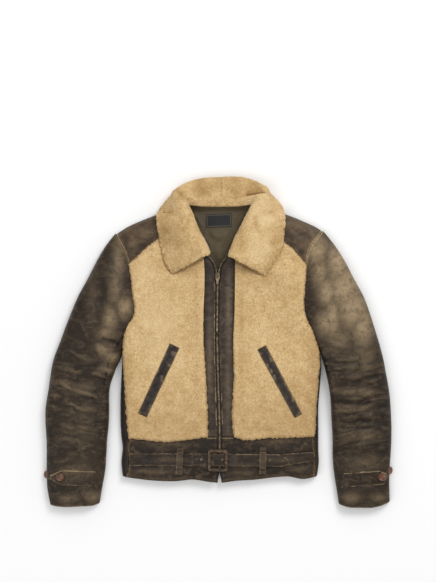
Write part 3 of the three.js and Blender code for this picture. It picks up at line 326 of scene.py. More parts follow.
def scatter_value(cell, seed):
    """A fixed random value from 0 to 1 for each whole-number cell."""
    mixed = np.full(np.shape(cell[0]), seed * 2654435, np.uint64)
    with np.errstate(over="ignore"):
        for key, prime in zip(cell, (73856093, 19349663, 83492791)):
            mixed = mixed ^ (np.asarray(key).astype(np.int64).astype(np.uint64) * np.uint64(prime))
        mixed = (mixed ^ (mixed >> np.uint64(13))) * np.uint64(1274126177)
    return ((mixed ^ (mixed >> np.uint64(16))) & np.uint64(0xFFFFFF)) / 0xFFFFFF


def drift(point, size, seed):
    """Smooth noise from -1 to 1 with bumps of about the given size. size may differ along each axis."""
    place = [p / s for p, s in zip(point, np.broadcast_to(size, len(point)))]
    cell = [np.floor(p) for p in place]
    part = [soft(p - c) for p, c in zip(place, cell)]
    total = 0
    for corner in np.ndindex(*(2,) * len(place)):
        weight = 1
        for share, step in zip(part, corner):
            weight = weight * (share if step else 1 - share)
        total = total + weight * scatter_value([c + step for c, step in zip(cell, corner)], seed)
    return total * 2 - 1


def curls(point, size, seed):
    """Little wool curls: their height from 0 to 1, and a value for each curl."""
    place = [p / size for p in point]
    cell = [np.floor(p) for p in place]
    nearest = np.full(place[0].shape, 9.0)
    value = np.zeros(place[0].shape)
    for step in np.ndindex(3, 3, 3):
        here = [c + s - 1 for c, s in zip(cell, step)]
        away = [p - h - mix(0.15, 0.85, scatter_value(here, seed + 7 * k))
                for k, (p, h) in enumerate(zip(place, here))]
        distance = np.sqrt(away[0] ** 2 + away[1] ** 2 + away[2] ** 2)
        closer = distance < nearest
        own = scatter_value(here, seed + 31)
        nearest = np.where(closer, distance, nearest)
        value = np.where(closer, own, value)
    dome = np.clip(1 - nearest**2 * 1.15, 0, 1)
    return dome * mix(0.6, 1, value), value


def look_up(rows, key):
    table = np.array(rows[::-1], float)
    return np.interp(key, table[:, 0], table[:, 1])


def swell(x, y):
    """Slow rise and fall that the whole coat shares."""
    return 1.1 * drift((x, y), 95, 3) + 0.5 * drift((x, y), 42, 4)


def level(x, y):
    """Height of the leather front above the floor."""
    crown = CROWN * (1 - (x / HALF_CHEST) ** 2)
    band = BAND_DROP * (1 - soft((y + 235) / 90))
    return SIDE_LEVEL + crown - band + swell(x, y) * (1 - soft((-215 - y) / 30) * 0.6)


def to_line(x, y, a, b):
    """Distance from a straight line between two points, and how far along it."""
    along = np.clip(((x - a[0]) * (b[0] - a[0]) + (y - a[1]) * (b[1] - a[1]))
                    / ((b[0] - a[0]) ** 2 + (b[1] - a[1]) ** 2), 0, 1)
    return np.hypot(x - mix(a[0], b[0], along), y - mix(a[1], b[1], along)), along


def side_of_line(x, y, a, b):
    return np.sign((b[0] - a[0]) * (y - a[1]) - (b[1] - a[1]) * (x - a[0]))


def folds(rows, x, y):
    """Height added by folds. A row is [x1, y1, x2, y2, x3, y3, height, half width]: a bent ridge that fades
    at its ends, with a softer valley on its lower side."""
    total = np.zeros(np.shape(x))
    for x1, y1, x2, y2, x3, y3, height, half in rows:
        line = smooth_line([[x1, y1], [x2, y2], [x3, y3]], np.linspace(0, 1, 9))
        nearest = np.full(np.shape(x), 1e9)
        run = np.zeros(np.shape(x))
        side = np.ones(np.shape(x))
        for k, (a, b) in enumerate(zip(line, line[1:])):
            distance, along = to_line(x, y, a, b)
            closer = distance < nearest
            nearest = np.where(closer, distance, nearest)
            run = np.where(closer, (k + along) / 8, run)
            side = np.where(closer, side_of_line(x, y, a, b), side)
        end = soft(run / 0.22) * soft((1 - run) / 0.22)
        signed = nearest * side / half
        total += height * end * (np.exp(-signed**2) - 0.45 * np.exp(-((signed + 1.7) / 0.9) ** 2))
    return total


def wrinkles(x, y, size, seed):
    """Fine wrinkles: soft swellings with thin creases between them."""
    value = drift((x, y), size, seed)
    return 1.1 * np.sqrt(np.abs(value) + 0.02) - 0.8 * np.exp(-(value / 0.09) ** 2) - 0.5

materials = {}
panels = {}


def finish_piece(name, mesh, slot, body="coat"):
    piece = bpy.data.objects.new(name, mesh)
    bpy.context.scene.collection.objects.link(piece)
    mesh.materials.append(materials[slot])
    mesh.shade_smooth()
    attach(piece, body)
    return piece


def grid_mesh(name, points, joined=False, values=None):
    """A mesh on a grid of points, facing out. A joined grid's last column meets its first."""
    rows, columns = points.shape[:2]
    shape = bmesh.new()
    bmesh.ops.create_grid(shape, x_segments=columns - 1, y_segments=rows - 1, size=0.5)
    mesh = bpy.data.meshes.new(name)
    shape.to_mesh(mesh)
    shape.free()
    flat = np.empty(len(mesh.vertices) * 3)
    mesh.vertices.foreach_get("co", flat)
    flat = flat.reshape(-1, 3) + 0.5
    i = np.rint(flat[:, 0] * (columns - 1)).astype(int)
    j = np.rint(flat[:, 1] * (rows - 1)).astype(int)
    mesh.vertices.foreach_set("co", (points[j, i] * MM).ravel())
    for key, value in (values or {}).items():
        attribute = mesh.attributes.new(key, "FLOAT", "POINT")
        attribute.data.foreach_set("value", np.broadcast_to(value, (rows, columns))[j, i].astype(np.float32))
    mesh.update()
    if joined:
        shape = bmesh.new()
        shape.from_mesh(mesh)
        bmesh.ops.remove_doubles(shape, verts=shape.verts, dist=1e-6)
        shape.to_mesh(mesh)
        shape.free()
    return mesh


def upward(points, values):
    """Turns a grid over, with its values, where its faces look down."""
    middle = (points.shape[0] // 2, points.shape[1] // 2)
    a = points[middle[0], middle[1] + 1] - points[middle]
    b = points[middle[0] + 1, middle[1]] - points[middle]
    if np.cross(a, b)[2] > 0:
        return points, values
    return points[:, ::-1], {key: value[:, ::-1] if np.ndim(value) == 2 else value
                             for key, value in values.items()}


def blurred(values, reach):
    """Values on a grid averaged with their neighbours, over and over."""
    for _ in range(reach):
        inner = np.pad(values, 1, mode="edge")
        values = (inner[:-2, 1:-1] + inner[2:, 1:-1] + inner[1:-1, :-2] + inner[1:-1, 2:] + values) / 5
    return values


def rises(points):
    """How far each point of a panel stands over the leather round it, -1 in a crease to 1 on a ridge. The
    leather look paints shade into creases and highlight onto ridges from it.
    """
    z = points[..., 2]
    return np.clip((blurred(z, 1) - blurred(z, 12)) / 0.7, -1, 1)


def pale_wear_and_highlight(x, y):
    """Paler places on the leather: real wear on the plackets, waistband, belt and cuffs, and painted
    highlight on the upper sleeves and shoulders.
    """
    total = np.zeros(np.shape(x))
    for px, py, wide, tall, strength in PALE_WEAR_AND_HIGHLIGHT:
        total = np.maximum(total, strength * np.exp(-((x - px) / wide) ** 2 - ((y - py) / tall) ** 2))
    return total


def cloth(name, points, slot, wall=LEATHER, joined=False, values=None):
    """A thin shell: the grid is its outer face and the wall lies under it."""
    values = {"ridge": rises(points), "pale_wear_and_highlight": pale_wear_and_highlight(points[..., 0], points[..., 1]), **(values or {})}
    turned, values = (points, values) if joined else upward(points, values)
    mesh = grid_mesh(name, turned, joined, values)
    piece = finish_piece(name, mesh, slot)
    shell = piece.modifiers.new("wall", "SOLIDIFY")
    shell.thickness = wall * MM
    shell.offset = -1
    shell.use_rim = True
    panels[name] = points
    return piece


def lifted(plan, height):
    return np.dstack([plan, height])


def dips(distances, depth=1.2, reach=2.2, edges=(1, 1, 1, 1)):
    """Seams draw a panel down at its edges."""
    total = 0
    for distance, edge in zip(distances, edges):
        total = total - edge * depth * np.exp(-((distance / reach) ** 2))
    return total


def tone(red, green, blue):
    """A colour as the eye reads it, 0 to 255, turned into light values."""
    def straight(value):
        value /= 255
        return value / 12.92 if value <= 0.04045 else ((value + 0.055) / 1.055) ** 2.4
    return (straight(red), straight(green), straight(blue), 1)


class Nodes:
    """Short names for making and joining a tree's nodes."""

    def __init__(self, tree):
        self.tree = tree

    def add(self, kind, label=None, **settings):
        made = self.tree.nodes.new(kind)
        if label:
            made.label = label
        for key, value in settings.items():
            setattr(made, key, value)
        return made

    def join(self, source, target):
        self.tree.links.new(source, target)

    def feed(self, target, value):
        if isinstance(value, bpy.types.NodeSocket):
            self.join(value, target)
        else:
            target.default_value = value

    def noise(self, place, scale, detail=3.0, roughness=0.55, distortion=0.0, label=None):
        made = self.add("ShaderNodeTexNoise", label)
        self.feed(made.inputs["Vector"], place)
        for key, value in (("Scale", scale), ("Detail", detail), ("Roughness", roughness),
                           ("Distortion", distortion)):
            self.feed(made.inputs[key], value)
        return made.outputs["Fac"]

    def range(self, value, low, high, to_low=0.0, to_high=1.0):
        made = self.add("ShaderNodeMapRange")
        made.clamp = True
        for key, item in (("Value", value), ("From Min", low), ("From Max", high), ("To Min", to_low),
                          ("To Max", to_high)):
            self.feed(made.inputs[key], item)
        return made.outputs["Result"]

    def math(self, kind, a, b=0.0):
        made = self.add("ShaderNodeMath", operation=kind)
        self.feed(made.inputs[0], a)
        self.feed(made.inputs[1], b)
        return made.outputs[0]

    def blend(self, share, a, b, kind="MIX"):
        made = self.add("ShaderNodeMix", data_type="RGBA", blend_type=kind)
        self.feed(made.inputs["Factor"], share)
        self.feed(made.inputs[6], a)
        self.feed(made.inputs[7], b)
        return made.outputs[2]

    def stretched(self, place, scale):
        made = self.add("ShaderNodeMapping")
        self.feed(made.inputs["Vector"], place)
        made.inputs["Scale"].default_value = scale
        return made.outputs["Vector"]


def new_group(name, inputs, outputs):
    """A shared effect with named inputs and outputs."""
    kinds = {"colour": "NodeSocketColor", "value": "NodeSocketFloat", "place": "NodeSocketVector"}
    tree = bpy.data.node_groups.new(name, "ShaderNodeTree")
    for key, (kind, default) in inputs.items():
        socket = tree.interface.new_socket(name=key, in_out="INPUT", socket_type=kinds[kind])
        if default is not None:
            socket.default_value = default
    for key, kind in outputs.items():
        tree.interface.new_socket(name=key, in_out="OUTPUT", socket_type=kinds[kind])
    nodes = Nodes(tree)
    return tree, nodes, nodes.add("NodeGroupInput").outputs, nodes.add("NodeGroupOutput").inputs


def worn_leather_group():
    tree, n, given, result = new_group(
        "Worn leather",
        {"Place": ("place", None), "Dark": ("colour", tone(40, 31, 25)), "Mid": ("colour", tone(70, 57, 46)),
         "Light": ("colour", tone(95, 79, 64)), "Rubbed": ("colour", tone(150, 118, 84)),
         "Rub": ("value", 0.0),
         "Mottle": ("value", 1.0), "Ridge": ("value", 0.0), "Lightened": ("value", 0.0)},
        {"Colour": "colour", "Gloss": "value", "Height": "value"})
    place = given["Place"]
    broad = n.noise(place, 9, 3, 0.6, 0.4, "Broad patches")
    blotch = n.noise(n.stretched(place, (1, 1.5, 1)), 42, 5, 0.62, 0.8, "Blotches")
    speck = n.noise(place, 260, 4, 0.7, 0.0, "Specks")
    wide = n.range(broad, 0.3, 0.7)
    small = n.range(blotch, 0.3, 0.72)
    base = n.blend(n.math("ADD", n.math("MULTIPLY", wide, 0.5), n.math("MULTIPLY", small, 0.5)),
                   given["Dark"], given["Mid"])
    raised = n.math("MULTIPLY", n.range(blotch, 0.5, 0.75), n.range(speck, 0.35, 0.65))
    half = n.blend(0.5, given["Mid"], given["Light"])
    base = n.blend(n.math("MULTIPLY", raised, given["Mottle"]), base, half)
    # Paler patches: real wear, and a painted highlight on the upper sleeves and shoulders.
    patchy = n.math("MULTIPLY", given["Lightened"], n.range(n.noise(place, 75, 5, 0.7, 0.5, "Wear and highlight patches"), 0.15,
                                                        0.55))
    base = n.blend(patchy, base, given["Light"])
    # Fold crests painted paler, partly wear and partly painted highlight; creases painted darker as painted
    # shade.
    crest = n.math("MULTIPLY", n.range(given["Ridge"], 0.12, 0.8), n.range(speck, 0.25, 0.6))
    base = n.blend(n.math("MULTIPLY", crest, 0.6), base, half)
    base = n.blend(n.range(given["Ridge"], -0.08, -0.7, 0.0, 0.7), base, given["Dark"])
    edge = n.math("MULTIPLY", given["Rub"], n.range(n.noise(place, 170, 4, 0.7), 0.32, 0.62))
    base = n.blend(edge, base, given["Rubbed"])
    n.join(base, result["Colour"])
    n.join(n.range(n.math("ADD", blotch, n.math("MULTIPLY", speck, 0.4)), 0.4, 1.0, 0.0, 1.0),
           result["Gloss"])
    cells = n.add("ShaderNodeTexVoronoi", "Grain", feature="SMOOTH_F1")
    n.feed(cells.inputs["Vector"], place)
    cells.inputs["Scale"].default_value = 720
    cells.inputs["Smoothness"].default_value = 0.6
    veins = n.noise(n.stretched(place, (1, 1.4, 1)), 120, 6, 0.68, 1.2, "Veins")
    crumple = n.noise(place, 45, 5, 0.6, 1.5, "Crumple")
    total = n.math("ADD", n.math("MULTIPLY", cells.outputs["Distance"], 0.14),
                   n.math("ADD", n.math("MULTIPLY", veins, 0.7), n.math("MULTIPLY", crumple, 1.3)))
    n.join(total, result["Height"])
    return tree


def curled_pile_group():
    tree, n, given, result = new_group(
        "Curled pile",
        {"Place": ("place", None), "Deep": ("colour", tone(144, 110, 64)),
         "Mid": ("colour", tone(204, 170, 118)),
         "Tip": ("colour", tone(238, 212, 166)), "Pile": ("value", 0.5), "Curl": ("value", 0.5),
         "Rim": ("value", 1.0),
         "Painted shade and light": ("value", 0.0)},
        {"Colour": "colour", "Height": "value"})
    place = given["Place"]
    fibre = n.noise(place, 900, 4, 0.7, 1.0, "Fibres")
    tuft = n.noise(place, 340, 3, 0.6, 0.3, "Tufts")
    cloud = n.noise(place, 60, 5, 0.62, 0.6, "Clouds")
    pile = n.math("ADD", given["Pile"], n.math("MULTIPLY", n.math("SUBTRACT", tuft, 0.5), 0.8))
    # Low pile painted darker and high pile paler: painted shade between the curls, and paler tips.
    low = n.blend(n.range(pile, -0.05, 0.5), given["Deep"], given["Mid"])
    high = n.blend(n.range(pile, 0.55, 1.1), low, given["Tip"])
    own = n.blend(n.range(given["Curl"], 0.7, 1.0, 0.0, 0.1), high, given["Deep"])
    # Random cloudy tone, with painted shade where the shade value is positive and painted light where it is
    # negative.
    dark = n.math("ADD", n.range(cloud, 0.5, 0.72, 0.0, 0.2), n.range(given["Painted shade and light"], 0.0, 1.0, 0.0, 0.85))
    painted_shade_and_light = n.blend(dark, own, given["Deep"])
    pale = n.math("ADD", n.range(cloud, 0.5, 0.28, 0.0, 0.2), n.range(given["Painted shade and light"], 0.0, -1.0, 0.0, 0.8))
    pale = n.blend(pale, painted_shade_and_light, given["Tip"])
    # Painted shade toward the rim of each fleece panel, where the pile falls to the skin.
    n.join(n.blend(n.range(given["Rim"], 0.6, 0.0, 0.0, 0.5), pale, given["Deep"]), result["Colour"])
    n.join(n.math("ADD", n.math("MULTIPLY", fibre, 0.5), tuft), result["Height"])
    return tree


def woven_group():
    tree, n, given, result = new_group(
        "Woven cloth",
        {"Place": ("place", None), "Thread": ("colour", tone(88, 77, 58)),
         "Gap": ("colour", tone(52, 46, 34)),
         "Fineness": ("value", 900.0), "Border": ("value", 0.0),
         "Border thread": ("colour", tone(120, 112, 96))},
        {"Colour": "colour", "Height": "value"})
    place = given["Place"]
    twill = n.add("ShaderNodeTexWave", "Twill", wave_type="BANDS", bands_direction="DIAGONAL")
    n.feed(twill.inputs["Vector"], place)
    n.feed(twill.inputs["Scale"], given["Fineness"])
    twill.inputs["Distortion"].default_value = 0.6
    cloud = n.noise(place, 30, 4, 0.6, 0.3, "Faded places")
    shade = n.math("MULTIPLY", n.range(twill.outputs["Fac"], 0.1, 0.9), n.range(cloud, 0.25, 0.75, 0.55, 1.0))
    n.join(n.blend(given["Border"], n.blend(shade, given["Gap"], given["Thread"]), given["Border thread"]),
           result["Colour"])
    n.join(twill.outputs["Fac"], result["Height"])
    return tree


def aged_metal_group():
    tree, n, given, result = new_group(
        "Aged metal",
        {"Place": ("place", None), "Dark": ("colour", tone(66, 56, 46)),
         "Bright": ("colour", tone(164, 138, 106)),
         "Wear": ("value", 0.5)},
        {"Colour": "colour", "Roughness": "value", "Height": "value"})
    place = given["Place"]
    blotch = n.noise(place, 150, 5, 0.65, 0.6, "Tarnish")
    fine = n.noise(place, 900, 3, 0.6, 0.0, "Pits")
    share = n.math("MULTIPLY", n.range(blotch, 0.35, 0.7), given["Wear"])
    n.join(n.blend(share, given["Dark"], given["Bright"]), result["Colour"])
    n.join(n.range(blotch, 0.3, 0.7, 0.52, 0.3), result["Roughness"])
    n.join(fine, result["Height"])
    return tree


def surface(name, group, uniform, joined, attributes=(), bump=None):
    """A material whose colours come from a shared effect. uniform sets the surface's own sockets, joined
    names which of the effect's outputs drive which of them, attributes are read from the mesh."""
    material = bpy.data.materials.new(name)
    material.use_nodes = True
    n = Nodes(material.node_tree)
    shader = material.node_tree.nodes["Principled BSDF"]
    place = n.add("ShaderNodeTexCoord").outputs["Object"]
    effect = n.add("ShaderNodeGroup")
    effect.node_tree, sockets = group
    n.join(place, effect.inputs["Place"])
    for key, value in sockets.items():
        n.feed(effect.inputs[key], value)
    for key, attribute in attributes:
        read = n.add("ShaderNodeAttribute", attribute_name=attribute)
        n.join(read.outputs["Fac"], effect.inputs[key])
    for key, value in uniform.items():
        shader.inputs[key].default_value = value
    for target, source in joined.items():
        n.join(effect.outputs[source], shader.inputs[target])
    if bump:
        strength, depth = bump
        lift = n.add("ShaderNodeBump")
        lift.inputs["Strength"].default_value = strength
        lift.inputs["Distance"].default_value = depth * MM
        n.join(effect.outputs["Height"], lift.inputs["Height"])
        n.join(lift.outputs["Normal"], shader.inputs["Normal"])
    return material, n, effect, shader


def leather_look(name, dark, mid, light, rubbed, mottle, rough, bump):
    material, n, effect, shader = surface(
        name, (GROUPS["leather"], {"Dark": dark, "Mid": mid, "Light": light, "Rubbed": rubbed,
                                   "Mottle": mottle}),
        {"Specular IOR Level": 0.24}, {"Base Color": "Colour"},
        [("Rub", "rub"), ("Ridge", "ridge"), ("Lightened", "pale_wear_and_highlight")], bump)
    n.join(n.range(effect.outputs["Gloss"], 0, 1, rough + 0.1, rough - 0.1), shader.inputs["Roughness"])
    return material


GROUPS = {"leather": worn_leather_group(), "pile": curled_pile_group(), "woven": woven_group(),
          "metal": aged_metal_group()}


def plain_thread(name, colour):
    return surface(name, (GROUPS["woven"], {"Thread": colour,
                                            "Gap": tuple(0.75 * c for c in colour[:3]) + (1,),
                                            "Fineness": 2600.0}),
                   {"Roughness": 0.7}, {"Base Color": "Colour"})[0]


def make_looks():
    materials["leather"] = leather_look("Brown leather", tone(34, 25, 17), tone(84, 67, 50),
                                        tone(134, 112, 86),
                                        tone(196, 168, 126), 0.9, 0.5, (0.6, 1.0))
    # Its Light colour is also the painted highlight on the upper sleeves.
    materials["sleeve"] = leather_look("Creased sleeve leather", tone(26, 18, 11), tone(52, 39, 26),
                                       tone(160, 138, 106),
                                       tone(190, 166, 128), 0.6, 0.5, (0.8, 1.2))
    materials["placket"] = leather_look("Faded placket leather", tone(28, 22, 18), tone(62, 51, 43),
                                        tone(132, 114, 92),
                                        tone(176, 148, 112), 1.0, 0.5, (0.7, 1.0))
    materials["band"] = leather_look("Dark waistband leather", tone(18, 13, 8), tone(46, 35, 24),
                                     tone(134, 111, 84),
                                     tone(158, 128, 92), 1.0, 0.48, (0.8, 1.1))
    # Darker than the body leather the sides are cut from: painted shade where the strips turn down out of the
    # light.
    materials["side"] = leather_look("Side leather", tone(24, 18, 13), tone(46, 36, 28), tone(66, 54, 43),
                                     tone(120, 96, 70), 0.4, 0.5, (0.6, 1.0))
    materials["loop"] = leather_look("Loop leather", tone(50, 40, 30), tone(84, 70, 54), tone(120, 102, 80),
                                     tone(168, 142, 108), 0.7, 0.46, (0.5, 0.7))
    materials["belt"] = leather_look("Belt leather", tone(20, 15, 11), tone(52, 42, 33), tone(112, 94, 73),
                                     tone(168, 142, 108), 0.9, 0.46, (0.6, 0.8))
    materials["welt"] = leather_look("Shiny welt leather", tone(26, 21, 18), tone(54, 46, 40),
                                     tone(110, 98, 84),
                                     tone(140, 124, 104), 0.9, 0.38, (0.7, 0.9))
    pile = [("Pile", "pile"), ("Curl", "curl"), ("Rim", "rim"), ("Painted shade and light", "painted_shade_and_light")]
    materials["fleece"] = surface(
        "Curled fleece", (GROUPS["pile"], {"Mid": tone(198, 164, 113)}),
        {"Roughness": 0.95, "Sheen Weight": 0.35, "Sheen Roughness": 0.5, "Sheen Tint": tone(255, 232, 196),
         "Specular IOR Level": 0.15}, {"Base Color": "Colour"}, pile, (0.8, 1.2))[0]
    materials["fleece_back"] = surface(
        "Suede back", (GROUPS["leather"], {"Dark": tone(96, 74, 50), "Mid": tone(128, 100, 68),
                                           "Light": tone(150, 120, 84)}),
        {"Roughness": 0.9}, {"Base Color": "Colour"}, (), (0.3, 0.4))[0]
    materials["lining"] = surface(
        "Olive lining", (GROUPS["woven"], {"Thread": tone(106, 91, 58), "Gap": tone(56, 47, 30),
                                           "Fineness": 700.0}),
        {"Roughness": 0.62, "Sheen Weight": 0.15}, {"Base Color": "Colour"}, (), (0.35, 0.3))[0]
    materials["label"] = surface(
        "Black woven label", (GROUPS["woven"], {"Thread": tone(40, 40, 42), "Gap": tone(24, 24, 26),
                                                "Fineness": 1500.0}),
        {"Roughness": 0.75}, {"Base Color": "Colour"}, [("Border", "rub")], (0.4, 0.3))[0]
    materials["zip_tape"] = surface(
        "Zip tape", (GROUPS["woven"], {"Thread": tone(52, 42, 34), "Gap": tone(28, 22, 18),
                                       "Fineness": 1400.0}),
        {"Roughness": 0.85}, {"Base Color": "Colour"}, (), (0.4, 0.3))[0]
    metal = {"Base Color": "Colour", "Roughness": "Roughness"}
    materials["bronze"] = surface("Aged bronze", (GROUPS["metal"],
                                                  {"Dark": tone(52, 44, 36), "Bright": tone(198, 174, 140),
                                                   "Wear": 1.0}), {"Metallic": 0.9}, metal, (),
                                                   (0.15, 0.2))[0]
    materials["buckle"] = surface("Dark bronze", (GROUPS["metal"],
                                                  {"Dark": tone(38, 32, 27), "Bright": tone(138, 116, 96),
                                                                    "Wear": 0.8}),
                                  {"Metallic": 0.85}, metal, (), (0.15, 0.2))[0]
    materials["button"] = surface("Reddish brown horn", (GROUPS["metal"],
                                                         {"Dark": tone(54, 28, 12),
                                                          "Bright": tone(134, 74, 32),
                                                                          "Wear": 1.0}),
                                  {"Metallic": 0.0, "Coat Weight": 0.4, "Coat Roughness": 0.25}, metal, (),
                                  (0.1, 0.1))[0]
    materials["thread"] = plain_thread("Tan thread", tone(150, 118, 80))
    materials["thread_light"] = plain_thread("Light tan thread", tone(206, 178, 134))
    materials["thread_dark"] = plain_thread("Brown thread", tone(92, 72, 52))
    materials["thread_rust"] = plain_thread("Rust thread", tone(176, 136, 92))


def creep(x, y, strength=1.0):
    """Fine unevenness of worn leather."""
    return strength * (0.35 * drift((x, y), (26, 17), 11) + 0.18 * drift((x, y), (11, 8), 12))


def fleece_height(x, y):
    return level(x, y) + mix(PILE, PRESSED_PILE, soft((in_collar(x, y) + 10) / 12))


def painted_shade_and_light(x, y):
    """Painted shade on the fleece, and painted light where the value is negative."""
    total = np.zeros(np.shape(x))
    for px, py, wide, tall, strength in PAINTED_SHADE_AND_LIGHT:
        total += strength * np.exp(-((x - px) / wide) ** 2 - ((y - py) / tall) ** 2)
    return np.clip(total, -1, 1)


def in_collar(x, y):
    """Distance in from the collar's outline seen from above, negative outside it."""
    outline = [row["outer"] for row in COLLAR] + [row["inner"] for row in reversed(COLLAR)]
    nearest = np.full(np.shape(x), 1e9)
    inside = np.zeros(np.shape(x), bool)
    for a, b in zip(outline, outline[1:] + outline[:1]):
        nearest = np.minimum(nearest, to_line(x, y, a, b)[0])
        if a[1] != b[1]:
            crosses = (a[1] > y) != (b[1] > y)
            inside ^= crosses & (x < (b[0] - a[0]) * (y - a[1]) / (b[1] - a[1]) + a[0])
    return np.where(inside, nearest, -nearest)


def woolly(points, normals, amount, seed):
    """Raises wool curls on a surface. Returns the points and the height of the pile from 0 to 1."""
    x, y, z = np.moveaxis(points, 2, 0)
    bend = [1.6 * drift((x, y, z), 9, seed + k) for k in range(3)]
    place = (x + bend[0], y + bend[1], z + bend[2])
    tall, value = curls(place, 5.0, seed + 5)
    fine, _ = curls(place, 2.9, seed + 6)
    clump = drift((x, y, z), 18, seed + 8)
    height = 1.7 * tall + 0.7 * fine + 0.9 * clump - 1.2
    pile = np.clip(0.5 * tall + 0.3 * fine + 0.2 + 0.08 * clump, 0, 1)
    return points + normals * (height * amount)[..., None], pile, value


def normals_of(points):
    rows = np.gradient(points, axis=0)
    columns = np.gradient(points, axis=1)
    n = np.cross(columns, rows)
    n /= np.maximum(np.linalg.norm(n, axis=2, keepdims=True), 1e-9)
    return n


def build_front(name, half):
    """Fleece front: a thin skin with its wool pile as a piece of its own, dished under the pocket welt."""
    armhole, side = half["armhole_front"], half["front_side"]
    down = shares(530, 1.25, (0.7, 1.6, 2.8))
    across = shares(190, 1.15, (0.7, 1.6, 2.8))
    split = np.searchsorted(down, 0.55)
    first = np.vstack([smooth_line(armhole, down[:split] / 0.55),
                       smooth_line(side, (down[split:] - 0.55) / 0.45)])
    last = smooth_line(half["placket_edge"], down)
    corner = np.linalg.norm(np.subtract(half["yoke_seam"][0], half["yoke_seam"][-1]))
    neck = np.linalg.norm(np.subtract(half["front_neck"][0], half["front_neck"][-1]))
    turn = corner / (corner + neck)
    k = np.searchsorted(across, turn)
    top = np.vstack([smooth_line(half["yoke_seam"], across[:k] / turn),
                     smooth_line(half["front_neck"], (across[k:] - turn) / (1 - turn))])
    bottom = smooth_line(half["band_top"], across)
    plan = shrink(patch(top, bottom, first, last, across, down))
    x, y = plan[..., 0], plan[..., 1]
    skin_plan = plan[::8, ::8]
    if (len(plan) - 1) % 8:
        skin_plan = np.vstack([skin_plan, plan[-1:, ::8]])
    if (plan.shape[1] - 1) % 8:
        extra = np.vstack([plan[::8, -1:], plan[-1:, -1:]]) if (len(plan) - 1) % 8 else plan[::8, -1:]
        skin_plan = np.hstack([skin_plan, extra])
    skin = lifted(skin_plan, level(skin_plan[..., 0], skin_plan[..., 1]) - 0.2)
    base = cloth(f"front_skin_{name}", skin, "fleece_back", wall=1.6)
    # The wool's rim falls to the skin and strays over the neighbours by a different amount at each place
    edges = in_from_edges(plan)
    near = np.minimum.reduce(edges)
    stray = 1.6 + 1.1 * drift((x, y), 12, 21) + 1.3 * drift((x, y), 4.4, 22) + 0.8 * drift((x, y), 2.6, 23)
    out = np.zeros_like(plan)
    for edge, row, beside in ((edges[0], 0, 1), (edges[1], -1, -2)):
        way = plan[row] - plan[beside]
        way = way / np.linalg.norm(way, axis=1, keepdims=True)
        out += way[None] * (np.exp(-edge / 5) * stray)[..., None]
    for edge, column, beside in ((edges[2], 0, 1), (edges[3], -1, -2)):
        way = plan[:, column] - plan[:, beside]
        way = way / np.linalg.norm(way, axis=1, keepdims=True)
        out += way[:, None] * (np.exp(-edge / 5) * stray)[..., None]
    round_rim = np.sqrt(np.clip(1 - (1 - np.clip(near / 9, 0, 1)) ** 2, 0, 1))
    ground = level(x, y)
    height = ground + (fleece_height(x, y) - ground) * mix(0.12, 1, round_rim)
    waves = 1.6 * drift((x, y), 58, 25) + 0.9 * drift((x, y), 27, 26) + folds(FRONT_FOLDS[name], x, y)
    height += waves * round_rim
    welt = half["welt"]
    start, end = (np.array(welt[key], float) for key in ("from", "to"))
    long = np.linalg.norm(end - start)
    inward = (end - start) / long
    run = (x - start[0]) * inward[0] + (y - start[1]) * inward[1]
    beside = np.abs((y - start[1]) * inward[0] - (x - start[0]) * inward[1])
    outside = np.maximum(beside - mix(*welt["half_widths"], run / long) - 0.5, np.maximum(-run, run - long))
    groove = soft((1.6 - outside) / 3)
    height = mix(height, ground + 2.6, groove)
    points = lifted(plan + out, height)
    n = normals_of(points)
    n *= np.sign(n[..., 2:3])
    amount = mix(0.25, 1, round_rim) * (1 - groove)
    points, pile, value = woolly(points, n, amount, 40 if name == "right" else 60)
    points[..., 2] = np.maximum(points[..., 2], ground + 0.3)
    points, values = upward(points, {"pile": pile, "curl": value, "rim": np.clip(near / 9, 0, 1),
                                     "painted_shade_and_light": painted_shade_and_light(x, y)})
    mesh = grid_mesh(f"front_pile_{name}", points, values=values)
    wool = finish_piece(f"front_pile_{name}", mesh, "fleece")
    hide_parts(f"front_{name}")
    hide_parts(f"front_{name}")
    return wool


def rounded(distance, radius):
    q = np.clip(distance / radius, 0, 1)
    return np.sqrt(1 - (1 - q) ** 2)


def build_yoke(name, half):
    across = shares(190, 2.2)
    down = shares(75, 1.6, (0.5, 1.4, 3))
    plan = shrink(patch(smooth_line(half["shoulder"], across), smooth_line(half["yoke_seam"], across),
                        smooth_line(half["armhole_yoke"], down), smooth_line(half["yoke_neck"], down),
                        across, down), (0, 0.15, 0.1, 0.15))
    x, y = plan[..., 0], plan[..., 1]
    edges = in_from_edges(plan)
    top = level(x, y) + creep(x, y, 2.4) + folds(YOKE_FOLDS[name], x, y)
    height = REST + (top - REST) * rounded(edges[0], SHOULDER_RADIUS)
    height += dips(edges, 0.9, 1.8, edges=(0, 1, 1, 0)) * rounded(edges[0], 8)
    points = lifted(plan, height)
    rub = 0.95 * np.exp(-((edges[2] - 1.6) / 1.4) ** 2) + np.exp(-(edges[1] / 1.4) ** 2) * 0.25
    piece = cloth(f"yoke_{name}", points, "leather", values={"rub": rub})
    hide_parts(f"yoke_{name}")


